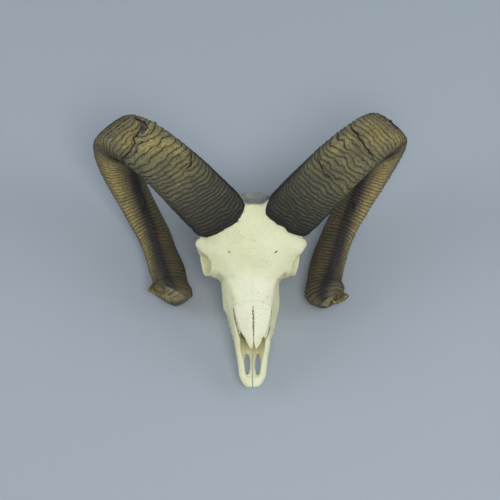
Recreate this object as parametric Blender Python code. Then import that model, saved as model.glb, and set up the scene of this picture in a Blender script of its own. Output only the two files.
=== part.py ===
"""A ram's skull without its lower jaw, life size, at rest on its cheek teeth and on the curls of its horns.

The bones are shaped as one body, opened at the eyes, nose, throat and nerve holes, and then parted along
their seams with thin cuts. Each horn is a tapering, three-cornered section carried round a flattened spiral.

Lengths are in millimetres until a mesh is placed. X is across the skull, and +X is the animal's left.
Y runs back from the tip of the muzzle. Z is up from the grinding faces of the cheek teeth, where it rests.
"""

import math

import bmesh
import bpy
from mathutils import Matrix, Vector

MM = 0.001
SIDES = {"left": 1, "right": -1}

# Where the middle of the whole model is, so that the origin is under the middle of its box.
CENTRE_ACROSS = -4.0
CENTRE_BACK = 181.9

SEAM = 0.3          # the cut between two bones
SLIT = 1.3          # the open gap between the two premaxillae
VOXEL_BULK = 2.6
VOXEL_FINE = 1.5
SKULL_TRIANGLES = 3700

# The brow frame: its origin is the poll, at the top of the forehead, and it leans back with the face.
POLL_BACK = 223.0
POLL_HEIGHT = 144.0
FACE_TILT = math.radians(27)

# Lines along the skull: distance back from the muzzle's tip, and the measure there.
ROOF_HEIGHT = {
    40: 56, 60: 67.5, 80: 78.5, 100: 88, 120: 96, 139: 102.5, 165: 119, 185: 130, 205: 138.5, 222: 143.5,
    226: 141, 232: 129, 243: 114, 253: 106, 263: 104,
}
WALL_TOP = {0: 25, 15: 31, 30: 38.5, 45: 46.5, 62: 56, 75: 64, 92: 76, 100: 82}
WALL_TOP_HALF = {
    0: 5, 8: 11.8, 15: 15.5, 30: 18, 45: 21, 62: 22.6, 75: 23.6, 92: 24.8, 101: 25.3, 110: 27.2, 123: 30.2, 138: 35,
    150: 38, 165: 38,
}
FACE_HALF = {
    0: 7.5, 3: 11.5, 10: 16.8, 21: 19.3, 35: 21, 57: 25.2, 73: 26.2, 91: 30.4, 103: 34.9, 114: 39.6, 137: 40.4, 165: 40,
}
FACE_LEVEL = {0: 23, 30: 27, 60: 34, 90: 42, 117: 46, 140: 55, 165: 62}
GUM_HALF = {0: 7, 8: 14, 20: 17, 40: 18.5, 60: 21, 80: 29, 110: 35, 140: 38.5, 165: 38}
GUM_HEIGHT = {0: 20, 25: 19, 50: 20, 75: 20, 90: 17.5, 165: 16}
PALATE_HEIGHT = {0: 22, 25: 22.5, 60: 24, 90: 25, 165: 26}
NASAL_HALF = {43: 3.2, 46: 6.4, 50: 9.6, 57: 14, 62: 16.6, 71: 20, 84: 23.4, 92: 24.5, 112: 25, 128: 20, 141: 11, 149: 1.5}
NASAL_SHIFT = {43: 2.0, 60: 1.6, 80: 1.1, 104: 0}
NASAL_GAP = {40: 7.5, 45: 4.6, 49: 2.2, 53: 1.1, 62: 1.0, 72: 0.9, 84: 0.5, 99: 0.12}
NASAL_ARCH = 0.20   # how far the nasal roof falls for each millimetre out from the middle
BROW_HALF = {128: 24, 136: 38, 143: 47, 150: 53.5, 157: 60, 165: 65, 175: 67, 184: 64, 194: 55, 206: 46, 223: 26}
VAULT_HALF = {205: 33, 225: 37, 240: 38, 254: 35, 266: 24}

# The rim of an eye socket in the brow frame: from its rear upper corner forward, down, back and up again.
ORBIT_RIM = (
    (69, -64.2, -24), (62.4, -71, -14), (55.2, -80, -8.5), (55.4, -91.3, -14), (58.4, -98, -28),
    (63.2, -96.8, -40), (67.2, -84, -50), (68.6, -72, -50), (69, -64.9, -38),
)

# Cheek teeth from front to back: length along the jaw and width across it.
CHEEK_TEETH = ((8, 9), (9.5, 11), (10, 12.5), (14.5, 14.5), (17, 15.5), (18.5, 15))
TOOTH_ROW_START = 81.0
TOOTH_ROW_HALF = {80: 23.5, 110: 28, 160: 30.5}
TOOTH_GAP = 0.5

# The nerve hole above each eye: its half sizes across and along the brow, and how much it is turned.
FORAMEN = {1: (2.9, 1.2, 0.5), -1: (1.9, 1.3, -0.4)}

# The horns' spirals, fitted in the brow frame: out from the midline, back along the brow, out of the brow.
HORNS = {
    "right": {
        "root": (50.2, -8.1, -26.2), "root_facing": (0.406, 0.681, 0.610),
        "centre": (89.5, 21.2, -65.4), "yaw": -0.693, "pitch": 0.130, "radius": 127.5, "shrink": 0.346,
        "hook": 0.091, "start": 1.997, "turn": -5.634, "drift": 83.8, "drift_gain": 0.517, "flatness": 0.528,
        "bend": (-5.7, -16.1, -36.6), "tip": (13.9, 11.8, -7.5), "sway": (22.4, -4.9, 56.8), "twist": -0.015,
        "width": {
            -0.07: 85.2, 0.0: 85.2, 0.25: 70.6, 0.5: 55.5, 0.7: 47.2, 0.76: 50.9, 0.82: 47.2, 0.88: 48.2, 0.94: 6.4,
            1.0: 8.1,
        },
        "depth": {0.0: 0.83, 0.25: 0.857, 0.5: 0.873, 0.7: 0.80, 0.82: 0.84, 0.88: 1.18, 0.94: 0.74, 1.0: 0.67},
        "rim": {
            0.0: 0.012, 0.07: 0.016, 0.13: 0.006, 0.2: 0, 0.31: 0, 0.35: 0.006, 0.40: 0.022, 0.46: 0.028, 0.56: 0.016,
            0.7: 0, 0.85: 0, 1.0: 0.012,
        },
    },
    "left": {
        "root": (54.0, -9.5, -24.2), "root_facing": (0.493, 0.630, 0.601),
        "centre": (83.3, 26.3, -54.9), "yaw": -0.725, "pitch": -0.008, "radius": 125.5, "shrink": 0.266,
        "hook": 0.071, "start": 2.092, "turn": -5.599, "drift": 54.9, "drift_gain": 1.390, "flatness": 0.455,
        "bend": (2.4, -31.9, 5.5), "tip": (3.2, 27.6, -43.0), "sway": (11.5, -4.2, 23.0), "twist": -0.849,
        "width": {
            -0.07: 80.5, 0.0: 80.5, 0.25: 70.7, 0.5: 54.8, 0.7: 47.0, 0.76: 50.6, 0.82: 51.7, 0.88: 44.6, 0.94: 13.9,
            1.0: 14.0,
        },
        "depth": {0.0: 0.83, 0.25: 0.857, 0.5: 0.873, 0.7: 0.80, 0.82: 0.73, 0.88: 1.16, 0.94: 0.3, 1.0: 0.5},
        "rim": {
            0.0: 0.006, 0.06: 0.013, 0.12: 0.005, 0.2: 0, 0.30: 0, 0.34: 0.008, 0.39: 0.022, 0.45: 0.024, 0.56: 0.012,
            0.7: 0, 0.85: 0, 1.0: 0.006,
        },
    },
}
SETTLE = 22.0       # how much lower the roots lie than the fitted spirals
HORN_STATIONS = 42
HORN_SIDES = 16


def clear_scene():
    for thing in list(bpy.data.objects):
        bpy.data.objects.remove(thing)


def along(line, place):
    """The measure that a line gives at a place, on a smooth curve through its entries."""
    keys = sorted(line)
    if place <= keys[0]:
        return line[keys[0]]
    if place >= keys[-1]:
        return line[keys[-1]]
    last = next(i for i, key in enumerate(keys) if key >= place)
    first = last - 1

    def slope(i):
        low, high = keys[max(0, i - 1)], keys[min(len(keys) - 1, i + 1)]
        return (line[high] - line[low]) / (high - low)

    span = keys[last] - keys[first]
    t = (place - keys[first]) / span
    return (
        (2 * t**3 - 3 * t**2 + 1) * line[keys[first]] + (t**3 - 2 * t**2 + t) * span * slope(first)
        + (3 * t**2 - 2 * t**3) * line[keys[last]] + (t**3 - t**2) * span * slope(last)
    )


def fade(value, start, end):
    """0 before start, 1 past end and a smooth step between them."""
    t = max(0.0, min(1.0, (value - start) / (end - start)))
    return t * t * (3 - 2 * t)


def stations(start, end, step):
    count = max(2, round(abs(end - start) / step) + 1)
    return [start + (end - start) * i / (count - 1) for i in range(count)]


def brow_point(out, back, rise):
    """A point of the brow frame in the skull's own."""
    cos, sin = math.cos(FACE_TILT), math.sin(FACE_TILT)
    return Vector((out, POLL_BACK + back * cos - rise * sin, POLL_HEIGHT + back * sin + rise * cos))


# ---------------------------------------------------------------- shapes


def loft(shape, sections):
    """A closed body through rings of points, which all have the same number of points."""
    loops = []
    for points in sections:
        verts = bmesh.ops.create_circle(shape, segments=len(points), radius=1)["verts"]
        for vert, point in zip(verts, points):
            vert.co = point
        loops.append((verts, {edge for vert in verts for edge in vert.link_edges}))
    for (_, near), (_, far) in zip(loops, loops[1:]):
        bmesh.ops.bridge_loops(shape, edges=list(near | far))
    for verts, edges in (loops[0], loops[-1]):
        bmesh.ops.contextual_create(shape, geom=list(edges))
    return [vert for verts, _ in loops for vert in verts]


def ball(shape, centre, radii, turn=None):
    """An ellipsoid, turned by a rotation matrix if one is given."""
    place = Matrix.Translation(centre) @ (turn.to_4x4() if turn else Matrix.Identity(4)) @ Matrix.Diagonal((*radii, 1))
    return bmesh.ops.create_icosphere(shape, subdivisions=3, radius=1, matrix=place)["verts"]


def smooth_path(points, step):
    """Points about a step apart on a smooth curve through the given ones, each with its share of the way."""
    points = [Vector(point) for point in points]
    padded = [2 * points[0] - points[1], *points, 2 * points[-1] - points[-2]]
    path = []
    for i in range(1, len(padded) - 2):
        before, start, end, after = padded[i - 1 : i + 3]
        count = max(2, round((end - start).length / step))
        for j in range(count + (i == len(padded) - 3)):
            t = j / count
            path.append((
                0.5 * (2 * start + (end - before) * t + (2 * before - 5 * start + 4 * end - after) * t**2
                       + (3 * start - before - 3 * end + after) * t**3),
                (i - 1 + t) / (len(points) - 1),
            ))
    return path


def bar(shape, points, wide, deep, level=(0, 0, 1), step=4, sides=14):
    """A bar of bone along a path. wide and deep are its half sizes across and along level, at the path's points."""
    path = smooth_path(points, step)
    wide_line = {i / (len(points) - 1): size for i, size in enumerate(wide)}
    deep_line = {i / (len(points) - 1): size for i, size in enumerate(deep)}
    sections = []
    for i, (place, share) in enumerate(path):
        ahead = (path[min(i + 1, len(path) - 1)][0] - path[max(i - 1, 0)][0]).normalized()
        across = Vector(level).cross(ahead).normalized()
        up = ahead.cross(across)
        half_wide, half_deep = along(wide_line, share), along(deep_line, share)
        sections.append([
            place + across * half_wide * math.cos(2 * math.pi * k / sides)
            + up * half_deep * math.sin(2 * math.pi * k / sides)
            for k in range(sides)
        ])
    loft(shape, sections)


def leaf(shape, centre, half_wide, half_long, low, high):
    """An upright cutter whose plan is a leaf pointed at both ends."""
    plan = []
    for k in range(20):
        angle = 2 * math.pi * k / 20
        cos, sin = math.cos(angle), math.sin(angle)
        plan.append((centre[0] + half_wide * math.copysign(abs(cos) ** 1.3, cos), centre[1] + half_long * sin))
    loft(shape, [[Vector((x, y, z)) for x, y in plan] for z in (low, high)])


def prism(shape, outline, near, far):
    """A side view's outline, given as (back, height), made solid from near to far across the skull."""
    loft(shape, [[Vector((x, y, z)) for y, z in outline] for x in (near, far)])


def ease(shape, amount):
    """Moves every face of a closed shape outwards by an amount."""
    bmesh.ops.recalc_face_normals(shape, faces=shape.faces)
    shape.normal_update()
    moves = [(vert, vert.normal * vert.calc_shell_factor() * amount) for vert in shape.verts]
    for vert, move in moves:
        vert.co += move


def relax(mesh, passes, push_back=0.53):
    """Softens a mesh's creases, and pushes it back out after each pass so that thin bone keeps its size."""
    shape = bmesh.new()
    shape.from_mesh(mesh)
    for _ in range(passes):
        bmesh.ops.smooth_vert(shape, verts=shape.verts, factor=0.5, use_axis_x=True, use_axis_y=True, use_axis_z=True)
        if push_back:
            bmesh.ops.smooth_vert(
                shape, verts=shape.verts, factor=-push_back, use_axis_x=True, use_axis_y=True, use_axis_z=True
            )
    shape.to_mesh(mesh)
    shape.free()


def mesh_of(shape, name):
    bmesh.ops.recalc_face_normals(shape, faces=shape.faces)
    mesh = bpy.data.meshes.new(name)
    shape.to_mesh(mesh)
    shape.free()
    return mesh


def with_modifier(mesh, kind, **settings):
    """The mesh as one modifier leaves it."""
    thing = bpy.data.objects.new("work", mesh)
    bpy.context.scene.collection.objects.link(thing)
    modifier = thing.modifiers.new(kind, kind)
    for name, value in settings.items():
        setattr(modifier, name, value)
    seen = thing.evaluated_get(bpy.context.evaluated_depsgraph_get())
    made = bpy.data.meshes.new_from_object(seen)
    bpy.data.objects.remove(thing)
    return made


def remeshed(mesh, voxel):
    return with_modifier(mesh, "REMESH", mode="VOXEL", voxel_size=voxel, use_smooth_shade=True)


def combined(mesh, other, operation):
    """One mesh cut by, joined to or kept within another."""
    tool = bpy.data.objects.new("tool", other)
    bpy.context.scene.collection.objects.link(tool)
    made = with_modifier(mesh, "BOOLEAN", operation=operation, object=tool)
    bpy.data.objects.remove(tool)
    return made


def largest_body(mesh):
    """Deletes the crumbs that a cut can leave beside the bone."""
    shape = bmesh.new()
    shape.from_mesh(mesh)
    left = set(shape.verts)
    bodies = []
    while left:
        start = left.pop()
        body, todo = {start}, [start]
        while todo:
            for edge in todo.pop().link_edges:
                for vert in edge.verts:
                    if vert in left:
                        left.remove(vert)
                        body.add(vert)
                        todo.append(vert)
        bodies.append(body)
    bodies.sort(key=len)
    crumbs = [vert for body in bodies[:-1] for vert in body]
    bmesh.ops.delete(shape, geom=crumbs, context="VERTS")
    shape.to_mesh(mesh)
    shape.free()
    return mesh


def flattened_below(mesh, height=0.0):
    """Cuts a closed mesh off at a height, which leaves it a small flat to stand on."""
    shape = bmesh.new()
    shape.from_mesh(mesh)
    cut = bmesh.ops.bisect_plane(
        shape, geom=[*shape.verts, *shape.edges, *shape.faces], dist=1e-5,
        plane_co=(0, 0, height), plane_no=(0, 0, 1), clear_inner=True,
    )
    rim = [piece for piece in cut["geom_cut"] if isinstance(piece, bmesh.types.BMEdge)]
    if rim:
        bmesh.ops.edgeloop_fill(shape, edges=rim)
    bmesh.ops.triangulate(shape, faces=shape.faces)
    shape.to_mesh(mesh)
    shape.free()
    return mesh


# ---------------------------------------------------------------- horns


def horn_frame(horn):
    """The spiral's centre, its two radial directions and its axis, in the brow frame."""
    yaw, pitch = horn["yaw"], horn["pitch"]
    axis = Vector((math.cos(yaw) * math.cos(pitch), math.sin(yaw) * math.cos(pitch), math.sin(pitch)))
    rise = Vector((0, 0, 1))
    rise = (rise - axis * rise.dot(axis)).normalized()
    return Vector(horn["centre"]), rise.cross(axis), rise, axis


def horn_centre(horn, t):
    """A point on the middle line of a horn, from 0 at its root to 1 at its tip, in the brow frame."""
    centre, flat, rise, axis = horn_frame(horn)
    angle = horn["start"] + horn["turn"] * t
    radius = horn["radius"] * math.exp(-horn["shrink"] * t - horn["hook"] * max(0.0, t) ** 8)
    drift = horn["drift"] * (t + horn["drift_gain"] * t * t)
    late, last = max(0.0, (t - 0.66) / 0.34), max(0.0, (t - 0.88) / 0.12)
    bend, tip, sway = (Vector(horn[name]) for name in ("bend", "tip", "sway"))
    spiral = centre + radius * (math.cos(angle) * flat + horn["flatness"] * math.sin(angle) * rise) + drift * axis
    spiral += late**2 * bend + last**2 * tip + late * (1 - min(late, 1)) * sway
    return spiral - Vector((0, 0, SETTLE * (1 - fade(t, 0, 0.3))))


def horn_section(side, t, size=1.0, sides=HORN_SIDES):
    """The ring of points round a horn at t: a broad front face and a narrower keel towards the curl's middle."""
    horn, mirror = HORNS[side], SIDES[side]
    centre = horn_centre(horn, t)
    ahead = (horn_centre(horn, t + 0.004) - horn_centre(horn, t - 0.004)).normalized()
    hub, _, _, axis = horn_frame(horn)
    drift = horn["drift"] * (t + horn["drift_gain"] * t * t)
    outward = centre - hub - drift * axis
    outward = (outward - ahead * outward.dot(ahead)).normalized()
    across = ahead.cross(outward)
    if across.dot(axis) < 0:
        across = -across
    twist = horn["twist"] * max(0.0, min(1.0, (t - 0.8) / 0.2)) ** 2
    across, outward = (
        across * math.cos(twist) + outward * math.sin(twist), outward * math.cos(twist) - across * math.sin(twist)
    )
    width, depth = along(horn["width"], t), along(horn["depth"], t)
    points = []
    for k in range(sides):
        angle = 2 * math.pi * k / sides
        cos, sin = math.cos(angle), math.sin(angle)
        front = max(0.0, min(1.0, 1.2 * sin))
        wide = math.copysign(abs(cos) ** (0.78 - 0.2 * front), cos) * (1 + 0.3 * sin) / 1.1
        deep = math.copysign(abs(sin) ** (0.88 - 0.26 * front), sin)
        place = centre + size * (
            across * wide * width / 2 + outward * deep * width * depth / 2
        )
        x, y, z = brow_point(*place)
        points.append(Vector((mirror * x, y, z)))
    return points


def horn_root_plane(side):
    """A point on the flat root of a horn, and the direction that faces the horn."""
    mirror = SIDES[side]
    point, ahead = brow_point(*HORNS[side]["root"]), brow_point(*HORNS[side]["root_facing"]) - brow_point(0, 0, 0)
    return Vector((mirror * point.x, point.y, point.z)), Vector((mirror * ahead.x, ahead.y, ahead.z)).normalized()


def horn_starts(side):
    """Where each line along a horn begins: its root is cut slantwise, and its rim draws back at both corners."""
    point, facing = horn_root_plane(side)
    starts = []
    for k in range(HORN_SIDES):
        low, high = -0.12, 0.25
        for _ in range(24):
            middle = (low + high) / 2
            if (horn_section(side, middle)[k] - point).dot(facing) > 0:
                high = middle
            else:
                low = middle
        starts.append(low + along(HORNS[side]["rim"], k / HORN_SIDES))
    return starts


def horn_mesh(side):
    """A horn from its slanting root to its tip, whose rings stand upright to it only beyond the root."""
    shape = bmesh.new()
    starts = horn_starts(side)
    rings = []
    for share in stations(0, 1, 1 / (HORN_STATIONS - 1)):
        places = [share + start * (1 - share) ** 4 for start in starts]
        rings.append([horn_section(side, t)[k] for k, t in enumerate(places)])
    loft(shape, rings)
    bmesh.ops.triangulate(shape, faces=shape.faces)
    return mesh_of(shape, "horn")


# ---------------------------------------------------------------- skull


def face_section(y):
    """A ring round the muzzle and cheeks: roof, side wall, gum and palate."""
    wall, face, gum = along(WALL_TOP_HALF, y), along(FACE_HALF, y), along(GUM_HALF, y)
    level, palate = along(FACE_LEVEL, y), along(PALATE_HEIGHT, y)
    top, fall = (along(WALL_TOP, y) + 0.5, 0.5) if y < 96 else (along(ROOF_HEIGHT, y), 1.35 * NASAL_ARCH * wall)
    half = [
        (0, top), (wall * 0.6, top - 0.36 * fall), (wall, top - fall),
        (wall * 0.42 + face * 0.58 + 1.2, (top - fall) * 0.42 + level * 0.58 + 1), (face, level),
        ((face + gum) / 2, (level + along(GUM_HEIGHT, y)) / 2 - 2), (gum, along(GUM_HEIGHT, y)),
        (gum * 0.55, palate), (0, palate),
    ]
    return [Vector((x, y, z)) for x, z in half] + [Vector((-x, y, z)) for x, z in half[-2:0:-1]]


def add_face(shape):
    loft(shape, [face_section(y) for y in stations(-1, 168, 6)])


def add_nasal_roof(shape):
    """The arched plate over the nose. It runs out beyond the walls, and sinks into the face at its rear."""
    sections = []
    for y in stations(43, 122, 4):
        half, top, shift = along(NASAL_HALF, y) + 0.5, along(ROOF_HEIGHT, y) - 3.4 * fade(y, 88, 112), along(NASAL_SHIFT, y)
        thick = 3.2 + min(2.5, (y - 43) * 0.06)
        upper = [(half * k / 4, top - NASAL_ARCH * half * (k / 4) ** 2 * 1.6) for k in range(5)]
        lower = [(x * 0.94, z - thick) for x, z in upper[::-1]]
        half_ring = upper + lower
        sections.append([Vector((shift + x, y, z)) for x, z in half_ring]
                        + [Vector((shift - x, y, z)) for x, z in half_ring[-2:0:-1]])
    loft(shape, sections)


def add_brow(shape):
    """The forehead, between the eyes and up to the poll."""
    sections = []
    for y in stations(130, 222, 7):
        top, half = along(ROOF_HEIGHT, y), along(BROW_HALF, y)
        upper = [(0, top), (half * 0.35, top - 0.3), (half * 0.68, top - 2.5), (half, top - 11)]
        lower = [(half * 0.95, top - 18), (half * 0.6, top - 34), (0, top - 46)]
        ring = upper + lower
        sections.append([Vector((x, y, z)) for x, z in ring] + [Vector((-x, y, z)) for x, z in ring[-2:0:-1]])
    loft(shape, sections)


def add_braincase(shape):
    """The vault behind the forehead, which falls away steeply from the poll."""
    sections = []
    for y in stations(206, 264, 6):
        top, half = along(ROOF_HEIGHT, y) - 1, along(VAULT_HALF, y)
        ring = [
            (0, top), (half * 0.5, top - 2), (half * 0.86, top - 13), (half, 84), (half * 0.9, 64),
            (half * 0.55, 48), (0, 44),
        ]
        sections.append([Vector((x, y, z)) for x, z in ring] + [Vector((-x, y, z)) for x, z in ring[-2:0:-1]])
    loft(shape, sections)
    ball(shape, (0, 192, 78), (26, 46, 30))
    for side in SIDES.values():
        bar(shape, [(side * 26, 222, 82), (side * 40, 219, 74), (side * 55, 212, 67)], (14, 10, 7), (16, 9, 5))
        ball(shape, (side * 33, 240, 68), (13, 13, 20))


def add_horn_stumps(shape):
    """The bony cores that stand in the horns' rims, and flare into the forehead."""
    for side, mirror in SIDES.items():
        point, facing = horn_root_plane(side)
        stump = bmesh.new()
        rings = [
            horn_section(side, t, size)
            for t, size in ((0.16, 0.80), (0.11, 0.84), (0.06, 0.88), (0.02, 0.92), (-0.02, 0.94))
        ]
        middle = sum(rings[-1], Vector()) / len(rings[-1])
        inner = brow_point(24, -30, -44)
        inner.x *= mirror
        for share, size in ((0.22, 1.0), (0.45, 0.96), (0.7, 0.84), (0.95, 0.62)):
            rings.append([middle.lerp(inner, share) + (place - middle) * size for place in rings[4]])
        loft(stump, rings)
        cut = bmesh.ops.bisect_plane(
            stump, geom=[*stump.verts, *stump.edges, *stump.faces], dist=1e-5,
            plane_co=point + facing * 26, plane_no=facing, clear_outer=True,
        )
        rim = [piece for piece in cut["geom_cut"] if isinstance(piece, bmesh.types.BMEdge)]
        bmesh.ops.edgeloop_fill(stump, edges=rim)
        made = bpy.data.meshes.new("stump")
        stump.to_mesh(made)
        stump.free()
        shape.from_mesh(made)


def orbit_bowl(side, layers):
    """Rings from an eye socket's rim inward or outward. Each layer has its share of the rim's size and its rise."""
    points = [brow_point(side * out, back, rise) for out, back, rise in ORBIT_RIM]
    rim = []
    for i in range(len(points)):
        before, start, end, after = (points[(i + j) % len(points)] for j in (-1, 0, 1, 2))
        for t in (0, 0.25, 0.5, 0.75):
            rim.append(0.5 * (
                2 * start + (end - before) * t + (2 * before - 5 * start + 4 * end - after) * t**2
                + (3 * start - before - 3 * end + after) * t**3
            ))
    centre = sum(rim, Vector()) / len(rim)
    facing = sum(((a - centre).cross(b - centre) for a, b in zip(rim, rim[1:] + rim[:1])), Vector()).normalized()
    facing *= side * math.copysign(1, facing.x)
    return [[centre + (place - centre) * size + facing * rise for place in rim] for size, rise in layers]


def add_orbits(shape):
    """The rims of the eye sockets, with the wing of the brow behind each and the square corner in front of it."""
    for side in SIDES.values():
        rim, above = orbit_bowl(side, ((1, 0), (1, 1)))
        facing = above[0] - rim[0]
        rings = []
        for k, place in enumerate(rim):
            spoke = (rim[(k + 1) % len(rim)] - rim[k - 1]).cross(facing).normalized()
            rings.append([
                place + spoke * 2.2 * math.cos(a) + facing * 1.7 * math.sin(a)
                for a in (2 * math.pi * j / 10 for j in range(10))
            ])
        loft(shape, rings[:19])
        loft(shape, [*rings[18:], rings[0]])
        loft(shape, orbit_bowl(side, ((0.9, 0.6), (1.04, -3), (1.04, -10), (0.88, -16), (0.5, -20))))
        up = (0.25 * side, -0.42, 0.9)
        wing = [brow_point(side * out, back, rise) for out, back, rise in (
            (44, -60, -6), (59, -58.5, -8.5), (69, -55.5, -13), (76.5, -55, -18.5),
        )]
        bar(shape, wing, (17, 14, 10.5, 3.8), (8, 6.5, 4.8, 2.6), level=up)
        before = [brow_point(side * out, back, rise) for out, back, rise in (
            (50, -70, -12), (47.5, -81, -11), (49, -91, -15), (51.5, -96, -28),
        )]
        bar(shape, before, (7, 7, 7, 7), (5, 5, 6, 6), level=up)
        bar(
            shape, [(side * 72.5, 186, 100), (side * 73, 191, 84), (side * 69, 190, 66)],
            (4, 3.2, 4.2), (6, 5, 7), level=(0, 1, 0.2),
        )
        bar(
            shape, [(side * 32, 149, 75), (side * 45, 151, 73), (side * 54, 153.5, 71.5), (side * 61, 158, 69)],
            (7, 6, 5, 3.4), (15, 13, 10, 6),
        )


def add_cheek_arches(shape):
    for side in SIDES.values():
        bar(
            shape,
            [(side * 32, 147, 52), (side * 45, 161, 54), (side * 57, 166, 57), (side * 65, 175, 59),
             (side * 66.5, 194, 62), (side * 56, 213, 66)],
            (7, 6, 5.5, 4.2, 3.6, 5), (9, 9, 8.5, 7.5, 6.5, 6),
        )
        bar(shape, [(side * 34, 109, 43), (side * 35.5, 122, 46), (side * 34.5, 142, 51)], (5, 4.5, 5), (5, 5, 6))
        ball(shape, (side * 47, 209, 60), (12, 9, 6))


def add_skull_base(shape):
    bar(shape, [(0, 266, 38), (0, 240, 40), (0, 205, 52), (0, 178, 60)], (17, 13, 10, 10), (6, 7, 7, 9))
    bar(
        shape,
        [(-31, 254, 94), (-20, 257, 100), (-11, 259, 103.6), (-3, 260, 102.2), (6, 260, 104), (14, 259, 102),
         (22, 257, 100.6), (31, 254, 94)],
        (3.4, 3.4, 3.2, 3.6, 3.2, 3.6, 3.4, 3.4), (4, 3.8, 3.8, 4.2, 3.8, 4.2, 3.8, 4), level=(0, 1, 0),
    )
    for side in SIDES.values():
        bar(shape, [(side * 28, 255, 100), (side * 39, 249, 84), (side * 43, 243, 64)], (4, 4, 5), (5, 5, 6))
        ball(shape, (side * 14.5, 266, 45), (9.5, 10, 14), Matrix.Rotation(side * 0.5, 3, "Y"))
        bar(
            shape, [(side * 27, 252, 58), (side * 30, 255, 32), (side * 27, 254, -1.5)],
            (8, 5, 2.6), (9, 7, 4.5), level=(0, 1, 0),
        )
        ball(shape, (side * 25, 234, 38), (9, 14, 12), Matrix.Rotation(side * 0.25, 3, "Z"))
        bar(shape, [(side * 27, 237, 52), (side * 38, 240, 56), (side * 46, 242, 60)], (7, 6, 5.5), (7, 6, 5.5))
        bar(
            shape, [(side * 15, 158, 30), (side * 13, 172, 32), (side * 12, 187, 36), (side * 12, 196, 46)],
            (3.5, 2.6, 2.4, 3), (10, 13, 13, 9),
        )
        bar(shape, [(side * 12, 186, 34), (side * 12.5, 190, 24)], (2.2, 2), (4, 2.2), level=(0, 1, 0))


def add_teeth(shape):
    """Two-lobed grinding teeth, set close together in the gum."""
    for side in SIDES.values():
        y = TOOTH_ROW_START
        for length, width in CHEEK_TEETH:
            lobes = 1 if length < 12 else 2
            for lobe in range(lobes):
                run = (length - TOOTH_GAP) / lobes
                middle = y + run * (lobe + 0.5)
                across = side * along(TOOTH_ROW_HALF, middle)
                sections = []
                for z, size in ((32, 0.9), (12, 1.0), (-1.0, 0.97)):
                    ring = []
                    for k in range(12):
                        angle = 2 * math.pi * k / 12
                        cos, sin = math.cos(angle), math.sin(angle)
                        ring.append(Vector((
                            across + size * width / 2 * math.copysign(abs(cos) ** 0.8, cos),
                            middle + size * (run / 2 + 0.2) * math.copysign(abs(sin) ** 0.6, sin), z,
                        )))
                    sections.append(ring)
                loft(shape, sections)
            y += length


def skull_body():
    """The whole skull as one closed body, before it is opened."""
    bulk = bmesh.new()
    for add in (add_face, add_brow, add_braincase, add_horn_stumps):
        add(bulk)
    mesh = remeshed(mesh_of(bulk, "bulk"), VOXEL_BULK)
    relax(mesh, 9, push_back=0.40)
    fine = bmesh.new()
    fine.from_mesh(mesh)
    for add in (add_nasal_roof, add_orbits, add_cheek_arches, add_skull_base, add_teeth):
        add(fine)
    return remeshed(mesh_of(fine, "skull"), VOXEL_FINE)


def add_openings(shape):
    """Everything that is hollow and can be looked into."""
    channel = []
    for y in stations(12, 112, 5):
        wide = max(2.5, along(WALL_TOP_HALF, y) - 5.4)
        low = along(PALATE_HEIGHT, y) + 4
        if y < 62:
            top = along(WALL_TOP, y)
            ring = [(0, top + 9), (wide + 1.6, top + 9), (wide + 0.8, top), (wide * 0.86, low + (top - low) * 0.5),
                    (wide * 0.6, low + (top - low) * 0.16), (wide * 0.3, low), (0, low)]
        else:
            high, middle = along(ROOF_HEIGHT, y) - 7, max(low + 2, along(FACE_LEVEL, y) - 2)
            slope, deep = 1 - fade(y, 62, 96), along(WALL_TOP, y) - low
            ring = [
                (0, high), (wide * 0.75, high), (wide, (high + middle) / 2),
                (wide * (1 - 0.14 * slope), middle + (low + deep * 0.5 - middle) * slope),
                (wide * (0.8 - 0.2 * slope), low + 3 + (deep * 0.16 - 3) * slope),
                (wide * (0.4 - 0.1 * slope), low), (0, low),
            ]
        channel.append([Vector((x, y, z)) for x, z in ring] + [Vector((-x, y, z)) for x, z in ring[-2:0:-1]])
    loft(shape, channel)
    bar(shape, [(0, 205, 33), (0, 186, 38), (0, 168, 38), (0, 156, 36)], (10.5, 10, 10, 9), (11, 11, 10, 8))
    bar(shape, [(0, 285, 50), (0, 268, 56), (0, 252, 64), (0, 238, 76)], (11, 10.5, 14, 17), (10, 10, 13, 16))
    for side in SIDES.values():
        loft(shape, orbit_bowl(side, (
            (0.94, 26), (0.93, 8), (0.92, 0), (0.88, -5), (0.78, -10), (0.58, -14), (0.25, -17),
        )))
        ball(shape, (side * 52, 203, 86), (12, 12, 18))
        leaf(shape, (side * 7.6, 33.5), 3.9, 17, 5, 40)
        edge = [
            (side * (along(NASAL_HALF, y) + 1.7) + along(NASAL_SHIFT, y), y,
             along(ROOF_HEIGHT, y) - 1.6 * NASAL_ARCH * along(NASAL_HALF, y) - 2)
            for y in (91, 82, 74, 66, 58)
        ]
        bar(shape, edge, (0.5, 1.1, 1.4, 1.6, 1.6), (3, 5, 6, 7, 7), step=2)
        bar(shape, [(side * 42, 72, 44), (side * 30, 86, 46), (side * 24, 98, 47)], (2.2, 2.6, 2), (2.8, 3, 2))
        bar(shape, [(side * 56, 246, 64), (side * 38, 241, 57)], (3.2, 2.4), (3.2, 2.4))


def opened_skull():
    cutters = bmesh.new()
    add_openings(cutters)
    voids = remeshed(mesh_of(cutters, "voids"), VOXEL_FINE)
    mesh = combined(skull_body(), voids, "DIFFERENCE")
    mesh = remeshed(mesh, VOXEL_FINE)
    relax(mesh, 5)
    largest_body(mesh)
    triangles = 2 * len(mesh.polygons)
    mesh = with_modifier(leaned(mesh), "DECIMATE", ratio=SKULL_TRIANGLES / triangles)
    return flattened_below(mesh)


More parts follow.
